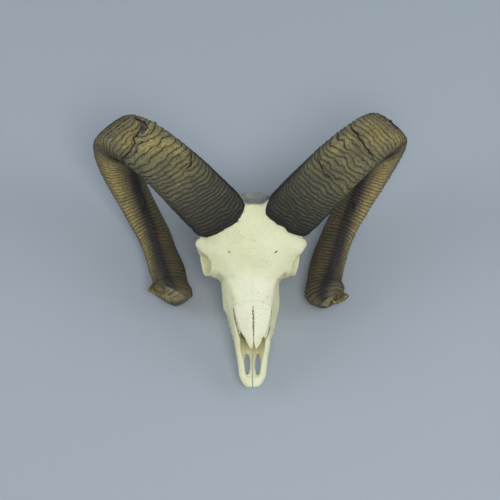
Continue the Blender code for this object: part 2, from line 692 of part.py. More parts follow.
def leaned(mesh):
    """Leans the cheeks slightly to the right, as the real ones do."""
    for vert in mesh.vertices:
        x, y, z = vert.co
        rise = (z - POLL_HEIGHT) * math.cos(FACE_TILT) - (y - POLL_BACK) * math.sin(FACE_TILT)
        lean = fade(y, 60, 80) * (1 - fade(y, 190, 212)) * fade(z, 20, 50)
        vert.co.x = x - lean * (2.0 * fade(-rise, 2, 20) + 1.6 * fade(y, 120, 145) * fade(-rise, 20, 46))
    return mesh


def territory(kind, side, amount):
    """The space that one bone's share of the skull lies in, eased by an amount."""
    mirror = SIDES[side]
    shape = bmesh.new()
    if kind == "nasal":
        sections = []
        for y in stations(38, 150, 7):
            half, top, shift = along(NASAL_HALF, y) + 1.0, along(ROOF_HEIGHT, y), along(NASAL_SHIFT, y)
            fall = NASAL_ARCH * half * 1.6
            sections.append([
                Vector((shift + mirror * x, y, z))
                for x, z in ((SEAM / 2, top - 6.5), (half, top - fall - 6.5), (half, top + 20), (SEAM / 2, top + 20))
            ])
        loft(shape, sections)
    elif kind == "premaxilla":
        prism(shape, ((-10, -8), (38, -8), (82, 90), (-10, 90)), mirror * SEAM / 2, mirror * 60)
    elif kind == "maxilla":
        outline = ((20, -8), (167, -8), (164, 30), (150, 40), (139, 48), (141, 64), (126, 92), (100, 110), (60, 110))
        prism(shape, outline, mirror * SEAM / 2, mirror * 60)
    elif kind == "zygomatic":
        outline = ((138, 40), (133, 50), (140, 66), (152, 72), (176, 84), (192, 84), (207, 66), (197, 48))
        prism(shape, outline, mirror * 44, mirror * 95)
    ease(shape, amount)
    return mesh_of(shape, kind)


def nerve_holes():
    """The small deep holes above the eyes, which open like funnels."""
    shape = bmesh.new()
    for side in SIDES.values():
        wide, long, turn = FORAMEN[side]
        rings = []
        for depth, size in ((8, 2.0), (-0.6, 1.0), (-9, 0.6)):
            ring = []
            for k in range(8):
                a = 2 * math.pi * k / 8
                x, y = size * wide * math.cos(a), size * long * math.sin(a)
                ring.append(Vector((
                    side * 32.2 + x * math.cos(turn) - y * math.sin(turn),
                    162.3 - 0.45 * depth + x * math.sin(turn) + y * math.cos(turn), 117.2 + 0.89 * depth,
                )))
            rings.append(ring)
        loft(shape, rings)
    return mesh_of(shape, "nerve_holes")


def midline_gaps():
    """The gap between the nasal bones, which opens to a notch, and the slit between the premaxillae."""
    nose, mouth = bmesh.new(), bmesh.new()
    sections = []
    for y in stations(40, 99, 6):
        top, middle, half = along(ROOF_HEIGHT, y), along(NASAL_SHIFT, y), max(along(NASAL_GAP, y), SEAM) / 2
        sections.append([Vector((middle + x, y, z)) for x, z in ((-half, top - 9), (half, top - 9), (half, top + 4),
                                                                 (-half, top + 4))])
    loft(nose, sections)
    loft(mouth, [
        [Vector((-half, y, 5)), Vector((half, y, 5)), Vector((half, y, 46)), Vector((-half, y, 46))]
        for y, half in ((-10, SLIT / 2 + 0.15), (49, 0.3))
    ])
    return mesh_of(nose, "nose"), mesh_of(mouth, "mouth")


def clear_of_horns(mesh):
    """Takes off whatever would touch a horn."""
    for side in SIDES:
        shape = bmesh.new()
        shape.from_mesh(horn_mesh(side))
        ease(shape, SEAM)
        mesh = combined(mesh, mesh_of(shape, "room"), "DIFFERENCE")
    return mesh


def skull_bones():
    """Each bone's name and mesh, parted from the whole skull along the seams."""
    rest = combined(clear_of_horns(opened_skull()), nerve_holes(), "DIFFERENCE")
    for gap in midline_gaps():
        rest = combined(rest, gap, "DIFFERENCE")
    bones = {}
    for kind in ("nasal", "zygomatic", "premaxilla", "maxilla"):
        for side in SIDES:
            bones[f"{kind}_{side}"] = largest_body(combined(rest, territory(kind, side, -SEAM / 2), "INTERSECT"))
            rest = combined(rest, territory(kind, side, SEAM / 2), "DIFFERENCE")
    bones["cranium"] = largest_body(rest)
    return bones


# ---------------------------------------------------------------- finish


def material(name, colour, roughness):
    made = bpy.data.materials.new(name)
    made.use_nodes = True
    surface = made.node_tree.nodes["Principled BSDF"]
    surface.inputs["Base Color"].default_value = (*colour, 1)
    surface.inputs["Roughness"].default_value = roughness
    surface.inputs["Metallic"].default_value = 0
    return made


def place(name, mesh, finish):
    """Puts a mesh in the scene in metres, with the origin under the middle of the whole model."""
    mesh.transform(Matrix.Scale(MM, 4) @ Matrix.Translation((-CENTRE_ACROSS, -CENTRE_BACK, 0)))
    mesh.name = name
    mesh.materials.clear()
    mesh.materials.append(finish)
    thing = bpy.data.objects.new(name, mesh)
    bpy.context.scene.collection.objects.link(thing)
    mesh.shade_smooth()
    mesh.set_sharp_from_angle(angle=math.radians(40))
    return thing


def main():
    clear_scene()
    bone = material("bone", (0.70, 0.68, 0.46), 0.55)
    sheath = material("horn", (0.10, 0.085, 0.05), 0.6)
    for name, mesh in skull_bones().items():
        place(name, mesh, bone)
    for side in SIDES:
        place(f"horn_{side}", flattened_below(horn_mesh(side)), sheath)


main()
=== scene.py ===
"""A ram's skull without its lower jaw, dressed for its picture: dry cream bone and dark, ridged, weathered horns.

Shapes are worked out in millimetres in the skull's own frame, as its source does: X across, with +X the animal's
left, Y back from the tip of the muzzle, Z up from the grinding faces of the cheek teeth. They go to metres last.
"""

import itertools
import math

import bmesh
import bpy
import numpy as np
from mathutils import Matrix, Vector
from mathutils.bvhtree import BVHTree
from mathutils.kdtree import KDTree


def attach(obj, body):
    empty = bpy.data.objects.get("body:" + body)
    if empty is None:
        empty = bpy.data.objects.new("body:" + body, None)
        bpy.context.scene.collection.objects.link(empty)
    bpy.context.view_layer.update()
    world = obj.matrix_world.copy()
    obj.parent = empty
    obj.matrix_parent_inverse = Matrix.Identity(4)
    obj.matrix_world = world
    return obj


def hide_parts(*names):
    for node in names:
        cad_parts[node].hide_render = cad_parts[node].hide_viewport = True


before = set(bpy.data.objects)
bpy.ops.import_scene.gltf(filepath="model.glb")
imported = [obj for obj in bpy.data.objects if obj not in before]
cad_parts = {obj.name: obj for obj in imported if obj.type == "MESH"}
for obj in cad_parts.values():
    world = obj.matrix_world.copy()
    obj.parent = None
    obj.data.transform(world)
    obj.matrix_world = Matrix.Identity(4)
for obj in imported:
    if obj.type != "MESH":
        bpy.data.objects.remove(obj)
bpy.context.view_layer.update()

MM = 0.001
GOLDEN_ANGLE = 2.399963
SIDES = {"left": 1, "right": -1}
BODY = "root"

CENTRE_ACROSS = -4.0
CENTRE_BACK = 181.9

# The gap between neighbouring bones, the slit between the premaxillae, and the sizes of the voxels.
SEAM = 0.05
SLIT = 1.3
VOXEL_BULK = 2.6
VOXEL_FINE = 1.2
VOXEL_ROUGH = 3.0

# The brow frame: its origin is the poll, at the top of the forehead, and it leans back with the face.
POLL_BACK = 223.0
POLL_HEIGHT = 144.0
FACE_TILT = math.radians(27)

# The studio, in metres: the camera looks squarely down on the brow.
CAMERA_TARGET = (0.00055, -0.01548, 0.11517)
CAMERA_DISTANCE = 2.3
CAMERA_LENS = 120
FLOOR_TONE = (0.36, 0.405, 0.455)

# Lines along the skull: distance back from the muzzle's tip, and the measure there.
ROOF_HEIGHT = {
    40: 56, 60: 67.5, 80: 78.5, 100: 88, 120: 96, 139: 102.5, 165: 119, 185: 130, 205: 138.5, 222: 143.5,
    226: 141, 232: 129, 243: 114, 253: 106, 263: 104,
}
WALL_TOP = {0: 25, 15: 31, 30: 38.5, 45: 46.5, 62: 56, 75: 64, 92: 76, 100: 82}
WALL_TOP_HALF = {
    0: 5, 8: 11.8, 15: 15.5, 30: 18, 45: 21, 62: 22.6, 75: 23.6, 92: 24.8, 101: 25.3, 110: 27.2, 123: 30.2, 138: 35,
    150: 38, 165: 38,
}
FACE_HALF = {
    0: 7.5, 3: 11.5, 10: 16.8, 21: 19.3, 35: 21, 57: 25.2, 73: 26.2, 91: 30.4, 103: 34.9, 114: 39.6, 137: 40.4,
    165: 40,
}
FACE_LEVEL = {0: 23, 30: 27, 60: 34, 90: 42, 117: 46, 140: 55, 165: 62}
GUM_HALF = {0: 7, 8: 14, 20: 17, 40: 18.5, 60: 21, 80: 29, 110: 35, 140: 38.5, 165: 38}
GUM_HEIGHT = {0: 20, 25: 19, 50: 20, 75: 20, 90: 17.5, 165: 16}
PALATE_HEIGHT = {0: 22, 25: 22.5, 60: 24, 90: 25, 165: 26}
NASAL_HALF = {
    43: 3.2, 46: 6.4, 50: 9.6, 57: 14, 62: 16.6, 71: 20, 84: 23.4, 92: 24.5, 112: 25, 128: 20, 141: 11, 149: 1.5,
}
NASAL_SHIFT = {43: 2.0, 60: 1.6, 80: 1.1, 104: 0}
NASAL_GAP = {40: 7.5, 45: 4.6, 49: 2.2, 53: 1.1, 62: 1.0, 72: 0.9, 84: 0.5, 99: 0.12}
NASAL_ARCH = 0.20
BROW_HALF = {128: 24, 136: 38, 143: 47, 150: 53.5, 157: 60, 165: 65, 175: 67, 184: 64, 194: 55, 206: 46, 223: 26}
VAULT_HALF = {205: 33, 225: 37, 240: 38, 254: 35, 266: 24}

# The rim of an eye socket in the brow frame: from its rear upper corner forward, down, back and up again.
ORBIT_RIM = (
    (69, -64.2, -24), (62.4, -71, -14), (55.2, -80, -8.5), (55.4, -91.3, -14), (58.4, -98, -28),
    (63.2, -96.8, -40), (67.2, -84, -50), (68.6, -72, -50), (69, -64.9, -38),
)

# The rust spots on the face, and the angle past which an edge of bone looks sharp.
STAINS = ((-24, 100, 84), (-25, 107, 85), (23, 108, 88))
STAIN_SIZE = 4.5
SHARP_EDGE = math.radians(48)

# Cheek teeth from front to back: length along the jaw and width across it.
CHEEK_TEETH = ((8, 9), (9.5, 11), (10, 12.5), (14.5, 14.5), (17, 15.5), (18.5, 15))
TOOTH_ROW_START = 81.0
TOOTH_ROW_HALF = {80: 23.5, 110: 28, 160: 30.5}
TOOTH_GAP = 0.5

# The nerve hole above each eye: its half sizes across and along the brow, and how much it is turned.
FORAMEN = {1: (2.9, 1.2, 0.5), -1: (1.9, 1.3, -0.4)}

# The horns' spirals, in the brow frame: out from the midline, back along the brow, out of the brow.
HORNS = {
    "right": {
        "root": (50.2, -8.1, -26.2), "root_facing": (0.406, 0.681, 0.610),
        "centre": (89.5, 21.2, -65.4), "yaw": -0.693, "pitch": 0.130, "radius": 127.5, "shrink": 0.346,
        "hook": 0.091, "start": 1.997, "turn": -5.634, "drift": 83.8, "drift_gain": 0.517, "flatness": 0.528,
        "bend": (-5.7, -16.1, -36.6), "tip": (13.9, 11.8, -7.5), "sway": (22.4, -4.9, 56.8), "twist": -0.015,
        "width": {
            -0.07: 85.2, 0.0: 85.2, 0.25: 70.6, 0.5: 55.5, 0.7: 47.2, 0.76: 50.9, 0.82: 47.2, 0.88: 48.2, 0.94: 6.4,
            1.0: 8.1,
        },
        "depth": {0.0: 0.83, 0.25: 0.857, 0.5: 0.873, 0.7: 0.80, 0.82: 0.84, 0.88: 1.18, 0.94: 0.74, 1.0: 0.67},
        "rim": {
            0.0: 0.012, 0.07: 0.016, 0.13: 0.006, 0.2: 0, 0.31: 0, 0.35: 0.006, 0.40: 0.022, 0.46: 0.028, 0.56: 0.016,
            0.7: 0, 0.85: 0, 1.0: 0.012,
        },
    },
    "left": {
        "root": (54.0, -9.5, -24.2), "root_facing": (0.493, 0.630, 0.601),
        "centre": (83.3, 26.3, -54.9), "yaw": -0.725, "pitch": -0.008, "radius": 125.5, "shrink": 0.266,
        "hook": 0.071, "start": 2.092, "turn": -5.599, "drift": 54.9, "drift_gain": 1.390, "flatness": 0.455,
        "bend": (2.4, -31.9, 5.5), "tip": (3.2, 27.6, -43.0), "sway": (11.5, -4.2, 23.0), "twist": -0.849,
        "width": {
            -0.07: 80.5, 0.0: 80.5, 0.25: 70.7, 0.5: 54.8, 0.7: 47.0, 0.76: 50.6, 0.82: 51.7, 0.88: 44.6, 0.94: 13.9,
            1.0: 14.0,
        },
        "depth": {0.0: 0.83, 0.25: 0.857, 0.5: 0.873, 0.7: 0.80, 0.82: 0.73, 0.88: 1.16, 0.94: 0.3, 1.0: 0.5},
        "rim": {
            0.0: 0.006, 0.06: 0.013, 0.12: 0.005, 0.2: 0, 0.30: 0, 0.34: 0.008, 0.39: 0.022, 0.45: 0.024, 0.56: 0.012,
            0.7: 0, 0.85: 0, 1.0: 0.006,
        },
    },
}
SETTLE = 22.0
HORN_ROWS = 750
HORN_COLUMNS = 128

# How far the sheath reaches over the bone at its rim, and the millimetres that one unit of t is long there.
RIM_OVERLAP = 4.0
ROOT_SCALE = 690

# A place round a horn is a turn from 0 at its outer side over the front face to 0.5 at the inner side and on over the
# keel. The ridges' distance apart is given along the horn's reach.
FRONT = 0.25
OUTER_STRIP = 0.96
RIDGE_SPACING = {
    0: 4.4, 50: 5.0, 88: 6.6, 115: 8.2, 138: 7.0, 158: 5.0, 205: 4.8, 260: 5.2, 340: 5.4, 420: 5.0, 500: 3.8,
}
RIDGE_SWAY = {"right": 0.95, "left": 0.62}
HOLLOW_LINE = {0.38: 0.745, 0.70: 0.745, 0.82: 0.67, 0.935: 0.44}

# Where each tip begins to be worn blunt, and where it is so altogether.
BLUNT = {"right": (0.883, 0.896), "left": (0.902, 0.912)}
CLOUD_SEED = {"right": 8, "left": 3}

# The stretch of the right horn where a flake has come off, and how deep its bed and the notch above it are.
FLAKE_START, FLAKE_END = 0.2235, 0.2455
FLAKE_DEPTH, NOTCH_DEPTH = 3.6, 3.0

# Cracks as runs of (along the horn, round it), with the half width and depth of the open crack.
CRACKS = {
    "right": (
        (((0.2330, 0.262), (0.2265, 0.245), (0.2300, 0.238), (0.2225, 0.232), (0.2180, 0.224), (0.2175, 0.210),
          (0.2111, 0.182), (0.2133, 0.141), (0.2155, 0.099), (0.2165, 0.060), (0.2150, 0.020)), 0.85, 4.5),
        (((0.2660, 0.289), (0.2570, 0.2865), (0.2470, 0.2865), (0.2350, 0.281), (0.2245, 0.278)), 1.2, 6.0),
        (((0.1317, 0.365), (0.1273, 0.307), (0.1207, 0.286), (0.1200, 0.255)), 0.7, 3.0),
        (((0.0832, 0.362), (0.0810, 0.328), (0.0766, 0.305)), 0.6, 2.4),
        (((0.5600, 0.705), (0.5779, 0.745), (0.5950, 0.780)), 0.7, 2.6),
    ),
    "left": (
        (((0.2342, 0.345), (0.2287, 0.307), (0.2292, 0.266), (0.2265, 0.255), (0.2199, 0.224), (0.2165, 0.190),
          (0.2150, 0.165)), 0.75, 3.6),
        (((0.1428, 0.352), (0.1362, 0.286), (0.1285, 0.258), (0.1295, 0.243)), 0.7, 3.0),
        (((0.3330, 0.255), (0.3290, 0.220)), 0.9, 3.4),
        (((0.6050, 0.760), (0.6197, 0.780)), 0.7, 2.2),
    ),
}

# The straw-coloured patches of each horn's first leg: reach in mm and half length, turn and half breadth.
STRAW = {
    "right": ((117, 10, 0.285, 0.035), (104, 8, 0.295, 0.025), (130, 8, 0.25, 0.03), (150, 10, 0.24, 0.09)),
    "left": ((137, 10, 0.285, 0.03), (115, 7, 0.285, 0.02), (163, 9, 0.25, 0.05), (176, 10, 0.13, 0.10)),
}


def metre(points):
    """Millimetres of the skull's frame in metres of the model's."""
    return (np.asarray(points) - (CENTRE_ACROSS, CENTRE_BACK, 0)) * MM


def along(line, place):
    """The measure that a line gives at a place, or at each of many, on a smooth curve through its entries."""
    keys = np.array(sorted(line), float)
    values = np.array([line[key] for key in sorted(line)], float)
    low, high = np.maximum(np.arange(len(keys)) - 1, 0), np.minimum(np.arange(len(keys)) + 1, len(keys) - 1)
    slopes = (values[high] - values[low]) / (keys[high] - keys[low])
    place = np.clip(place, keys[0], keys[-1])
    last = np.clip(np.searchsorted(keys, place), 1, len(keys) - 1)
    first = last - 1
    span = keys[last] - keys[first]
    t = (place - keys[first]) / span
    return (
        (2 * t**3 - 3 * t**2 + 1) * values[first] + (t**3 - 2 * t**2 + t) * span * slopes[first]
        + (3 * t**2 - 2 * t**3) * values[last] + (t**3 - t**2) * span * slopes[last]
    )


def spline(before, start, end, after, t):
    """A place on the smooth curve from start to end, between their neighbours."""
    return 0.5 * (
        2 * start + (end - before) * t + (2 * before - 5 * start + 4 * end - after) * t**2
        + (3 * start - before - 3 * end + after) * t**3
    )


def stations(start, end, step):
    count = max(2, round(abs(end - start) / step) + 1)
    return [start + (end - start) * i / (count - 1) for i in range(count)]


def brow_point(out, back, rise):
    """A point of the brow frame in the skull's own."""
    cos, sin = math.cos(FACE_TILT), math.sin(FACE_TILT)
    return Vector((out, POLL_BACK + back * cos - rise * sin, POLL_HEIGHT + back * sin + rise * cos))


def cloud(points, size, seed=0):
    """Smooth noise from -1 to 1 at many points, with lumps about a size apart."""
    places = np.asarray(points, float) / size + seed * 17.31
    corner = np.floor(places).astype(np.int64)
    part = places - corner
    part = part * part * (3 - 2 * part)
    total = np.zeros(places.shape[:-1])
    for step in itertools.product((0, 1), repeat=places.shape[-1]):
        code = np.zeros(places.shape[:-1], np.uint64)
        weight = np.ones(places.shape[:-1])
        for axis, shift in enumerate(step):
            code = code * np.uint64(1000003) + (corner[..., axis] + shift + 4096).astype(np.uint64)
            weight = weight * (part[..., axis] if shift else 1 - part[..., axis])
        code = (code ^ (code >> np.uint64(15))) * np.uint64(2246822519) & np.uint64(0xFFFFFFFF)
        code = (code ^ (code >> np.uint64(13))) * np.uint64(3266489917) & np.uint64(0xFFFFFFFF)
        total += weight * ((code ^ (code >> np.uint64(16))).astype(float) / 2147483647.5 - 1)
    return total


def bell(value, size):
    """1 where a value is 0, and fading to 0 on both sides."""
    return np.exp(-((value / size) ** 2))


def fade(value, start, end):
    """0 before start, 1 past end and a smooth step between them."""
    t = np.clip((value - start) / (end - start), 0, 1)
    return t * t * (3 - 2 * t)


# ---------------------------------------------------------------- shapes


def opened(mesh):
    """A mesh as a shape that can be worked on."""
    shape = bmesh.new()
    shape.from_mesh(mesh)
    return shape


def closed(shape, mesh):
    """Puts a shape back into its mesh."""
    shape.to_mesh(mesh)
    shape.free()
    return mesh


def both_sides(half, y, shift=0.0):
    """A ring across the skull, given from its top over one side to its bottom."""
    return ([Vector((shift + x, y, z)) for x, z in half]
            + [Vector((shift - x, y, z)) for x, z in half[-2:0:-1]])


def to_side(side, *points):
    """Points of the animal's left, or the same ones mirrored to its right."""
    return [(side * x, y, z) for x, y, z in points]


def loft(shape, sections):
    """A closed body through rings of points, which all have the same number of points."""
    loops = []
    for points in sections:
        verts = bmesh.ops.create_circle(shape, segments=len(points), radius=1)["verts"]
        for vert, point in zip(verts, points):
            vert.co = point
        loops.append((verts, {edge for vert in verts for edge in vert.link_edges}))
    for (_, near), (_, far) in zip(loops, loops[1:]):
        bmesh.ops.bridge_loops(shape, edges=list(near | far))
    for verts, edges in (loops[0], loops[-1]):
        bmesh.ops.contextual_create(shape, geom=list(edges))
    return [vert for verts, _ in loops for vert in verts]


def ball(shape, centre, radii, turn=None):
    """An ellipsoid, turned by a rotation matrix if one is given."""
    turned = turn.to_4x4() if turn else Matrix.Identity(4)
    place = Matrix.Translation(centre) @ turned @ Matrix.Diagonal((*radii, 1))
    bmesh.ops.create_icosphere(shape, subdivisions=3, radius=1, matrix=place)


def smooth_path(points, step):
    """Points about a step apart on a smooth curve through the given ones, each with its share of the way."""
    points = [Vector(point) for point in points]
    padded = [2 * points[0] - points[1], *points, 2 * points[-1] - points[-2]]
    path = []
    for i in range(1, len(padded) - 2):
        before, start, end, after = padded[i - 1 : i + 3]
        count = max(2, round((end - start).length / step))
        for j in range(count + (i == len(padded) - 3)):
            t = j / count
            path.append((spline(before, start, end, after, t), (i - 1 + t) / (len(points) - 1)))
    return path


def bar(shape, points, wide, deep, level=(0, 0, 1), step=4, sides=14):
    """A bar of bone along a path. wide and deep are its half sizes across and along level, at the path's points."""
    path = smooth_path(points, step)
    wide_line = {i / (len(points) - 1): size for i, size in enumerate(wide)}
    deep_line = {i / (len(points) - 1): size for i, size in enumerate(deep)}
    sections = []
    for i, (place, share) in enumerate(path):
        ahead = (path[min(i + 1, len(path) - 1)][0] - path[max(i - 1, 0)][0]).normalized()
        across = Vector(level).cross(ahead).normalized()
        up = ahead.cross(across)
        half_wide, half_deep = along(wide_line, share), along(deep_line, share)
        sections.append([
            place + across * half_wide * math.cos(2 * math.pi * k / sides)
            + up * half_deep * math.sin(2 * math.pi * k / sides)
            for k in range(sides)
        ])
    loft(shape, sections)


def leaf(shape, centre, half_wide, half_long, low, high):
    """An upright cutter whose plan is a leaf pointed at both ends."""
    plan = []
    for k in range(20):
        angle = 2 * math.pi * k / 20
        cos, sin = math.cos(angle), math.sin(angle)
        plan.append((centre[0] + half_wide * math.copysign(abs(cos) ** 1.3, cos), centre[1] + half_long * sin))
    loft(shape, [[Vector((x, y, z)) for x, y in plan] for z in (low, high)])


def prism(shape, outline, near, far):
    """A side view's outline, given as (back, height), made solid from near to far across the skull."""
    loft(shape, [[Vector((x, y, z)) for y, z in outline] for x in (near, far)])


def ease(shape, amount):
    """Moves every face of a closed shape outwards by an amount."""
    bmesh.ops.recalc_face_normals(shape, faces=shape.faces)
    shape.normal_update()
    moves = [(vert, vert.normal * vert.calc_shell_factor() * amount) for vert in shape.verts]
    for vert, move in moves:
        vert.co += move


def relax(mesh, passes, push_back=0.53):
    """Softens a mesh's creases, and pushes it back out after each pass so that thin bone keeps its size."""
    shape = opened(mesh)
    for factor in (0.5, -push_back) * passes:
        bmesh.ops.smooth_vert(
            shape, verts=shape.verts, factor=factor, use_axis_x=True, use_axis_y=True, use_axis_z=True
        )
    closed(shape, mesh)


def mesh_of(shape, name):
    bmesh.ops.recalc_face_normals(shape, faces=shape.faces)
    return closed(shape, bpy.data.meshes.new(name))


def add_object(name, data):
    thing = bpy.data.objects.new(name, data)
    bpy.context.scene.collection.objects.link(thing)
    return thing


def with_modifier(mesh, kind, **settings):
    """The mesh as one modifier leaves it."""
    thing = add_object("work", mesh)
    modifier = thing.modifiers.new(kind, kind)
    for name, value in settings.items():
        setattr(modifier, name, value)
    seen = thing.evaluated_get(bpy.context.evaluated_depsgraph_get())
    made = bpy.data.meshes.new_from_object(seen)
    bpy.data.objects.remove(thing)
    return made


def remeshed(mesh, voxel):
    return with_modifier(mesh, "REMESH", mode="VOXEL", voxel_size=voxel, use_smooth_shade=True)


def combined(mesh, other, operation):
    """One mesh cut by, joined to or kept within another."""
    tool = add_object("tool", other)
    made = with_modifier(mesh, "BOOLEAN", operation=operation, object=tool, solver="MANIFOLD")
    bpy.data.objects.remove(tool)
    return made


def largest_body(mesh):
    """Deletes the crumbs that a cut can leave beside the bone."""
    shape = opened(mesh)
    left = set(shape.verts)
    bodies = []
    while left:
        start = left.pop()
        body, todo = {start}, [start]
        while todo:
            for edge in todo.pop().link_edges:
                for vert in edge.verts:
                    if vert in left:
                        left.remove(vert)
                        body.add(vert)
                        todo.append(vert)
        bodies.append(body)
    bodies.sort(key=len)
    crumbs = [vert for body in bodies[:-1] for vert in body]
    bmesh.ops.delete(shape, geom=crumbs, context="VERTS")
    return closed(shape, mesh)


def cut_off(shape, point, facing, **cleared):
    """Cuts a closed shape at a plane, and closes it again there."""
    cut = bmesh.ops.bisect_plane(
        shape, geom=[*shape.verts, *shape.edges, *shape.faces], dist=1e-5, plane_co=point, plane_no=facing, **cleared
    )
    rim = [piece for piece in cut["geom_cut"] if isinstance(piece, bmesh.types.BMEdge)]
    if rim:
        bmesh.ops.edgeloop_fill(shape, edges=rim)


def flattened_below(mesh, height=0.0):
    """Cuts a closed mesh off at a height, which leaves it a small flat to stand on."""
    shape = opened(mesh)
    cut_off(shape, (0, 0, height), (0, 0, 1), clear_inner=True)
    return closed(shape, mesh)


def read_points(points, kind):
    flat = np.empty(3 * len(points), np.float32)
    points.foreach_get(kind, flat)
    return flat.reshape(-1, 3).astype(float)


def places_of(mesh):
    """A mesh's points as an array."""
    return read_points(mesh.vertices, "co")


def set_places(mesh, points):
    mesh.vertices.foreach_set("co", np.asarray(points, np.float32).ravel())
    mesh.update()


def normals_of(mesh):
    return read_points(mesh.vertex_normals, "vector")


def store(mesh, name, values):
    """Keeps a number for each point of a mesh, for its material to read."""
    made = mesh.attributes.new(name, "FLOAT", "POINT")
    made.data.foreach_set("value", np.asarray(values, np.float32))


# ---------------------------------------------------------------- horns


def horn_frame(horn):
    """The spiral's centre, its two radial directions and its axis, in the brow frame."""
    yaw, pitch = horn["yaw"], horn["pitch"]
    axis = Vector((math.cos(yaw) * math.cos(pitch), math.sin(yaw) * math.cos(pitch), math.sin(pitch)))
    rise = Vector((0, 0, 1))
    rise = (rise - axis * rise.dot(axis)).normalized()
    return (np.array(v) for v in (horn["centre"], rise.cross(axis), rise, axis))


def horn_centre(horn, t):
    """Points on the middle line of a horn, from 0 at its root to 1 at its tip, in the brow frame."""
    centre, flat, rise, axis = horn_frame(horn)
    t = np.asarray(t, float)[..., None]
    angle = horn["start"] + horn["turn"] * t
    radius = horn["radius"] * np.exp(-horn["shrink"] * t - horn["hook"] * np.maximum(0.0, t) ** 8)
    drift = horn["drift"] * (t + horn["drift_gain"] * t * t)
    spiral = centre + radius * (np.cos(angle) * flat + horn["flatness"] * np.sin(angle) * rise) + drift * axis
    late, last = np.maximum(0, (t - 0.66) / 0.34), np.maximum(0, (t - 0.88) / 0.12)
    bend, tip, sway = (np.array(horn[name]) for name in ("bend", "tip", "sway"))
    spiral = spiral + late**2 * bend + last**2 * tip + late * (1 - np.minimum(late, 1)) * sway
    return spiral - SETTLE * (1 - fade(t, 0, 0.3)) * np.array((0, 0, 1))


def unit(vectors):
    return vectors / np.linalg.norm(vectors, axis=-1, keepdims=True)


def horn_points(side, t, turn, size=1.0):
    """Points on a horn's plain surface, t along it and turn round it: a broad front face, and a narrower keel."""
    horn, mirror = HORNS[side], SIDES[side]
    t, turn = np.broadcast_arrays(np.asarray(t, float), np.asarray(turn, float))
    middle = horn_centre(horn, t)
    ahead = unit(horn_centre(horn, t + 0.004) - horn_centre(horn, t - 0.004))
    hub, _, _, axis = horn_frame(horn)
    drift = horn["drift"] * (t + horn["drift_gain"] * t * t)
    outward = middle - hub - drift[..., None] * axis
    outward = unit(outward - ahead * (outward * ahead).sum(-1, keepdims=True))
    across = np.cross(ahead, outward)
    across = np.where((across @ axis)[..., None] < 0, -across, across)
    twist = (horn["twist"] * np.clip((t - 0.8) / 0.2, 0, 1) ** 2)[..., None]
    across, outward = (
        across * np.cos(twist) + outward * np.sin(twist), outward * np.cos(twist) - across * np.sin(twist)
    )
    cos, sin = np.cos(2 * np.pi * turn), np.sin(2 * np.pi * turn)
    front = np.clip(1.2 * sin, 0, 1)
    wide = np.sign(cos) * np.abs(cos) ** (0.78 - 0.2 * front) * (1 + 0.3 * sin) / 1.1
    deep = np.sign(sin) * np.abs(sin) ** (0.88 - 0.26 * front)
    half = size * along(horn["width"], t) / 2
    place = middle + across * (wide * half)[..., None]
    place = place + outward * (deep * half * along(horn["depth"], t))[..., None]
    out, back, rise = place[..., 0], place[..., 1], place[..., 2]
    cosine, sine = math.cos(FACE_TILT), math.sin(FACE_TILT)
    return np.stack((
        mirror * out, POLL_BACK + back * cosine - rise * sine, POLL_HEIGHT + back * sine + rise * cosine
    ), -1)


def horn_root_plane(side):
    """A point on the flat root of a horn, and the direction that faces the horn."""
    mirror = SIDES[side]
    point, ahead = brow_point(*HORNS[side]["root"]), brow_point(*HORNS[side]["root_facing"]) - brow_point(0, 0, 0)
    return Vector((mirror * point.x, point.y, point.z)), Vector((mirror * ahead.x, ahead.y, ahead.z)).normalized()


def horn_starts(side, turns):
    """Where each line along a horn begins: its root is cut slantwise, and its rim draws back at both corners."""
    point, facing = (np.array(v) for v in horn_root_plane(side))
    low, high = np.full(turns.shape, -0.12), np.full(turns.shape, 0.25)
    for _ in range(24):
        middle = (low + high) / 2
        beyond = (horn_points(side, middle, turns) - point) @ facing > 0
        low, high = np.where(beyond, low, middle), np.where(beyond, middle, high)
    return low + along(HORNS[side]["rim"], turns)


def even_turns(side, count):
    """Places round a horn that are the same distance apart on its surface, and any place's share of that way."""
    turns = np.linspace(0, 1, 721)
    way = np.linalg.norm(np.diff(horn_points(side, 0.15, turns), axis=0), axis=1)
    share = np.concatenate(([0], np.cumsum(way))) / way.sum()
    return np.interp(np.arange(count) / count, share, turns), share


def plain_horn(side, overlap=0.0, rows=60, columns=40):
    """A horn without its ridges, which reaches past its root by an overlap."""
    turns, _ = even_turns(side, columns)
    starts = horn_starts(side, turns) - overlap / ROOT_SCALE
    shape = bmesh.new()
    rings = []
    for share in np.linspace(0, 1, rows):
        ring = horn_points(side, share + starts * (1 - share) ** 4, turns)
        rings.append([Vector(point) for point in ring])
    loft(shape, rings)
    return shape


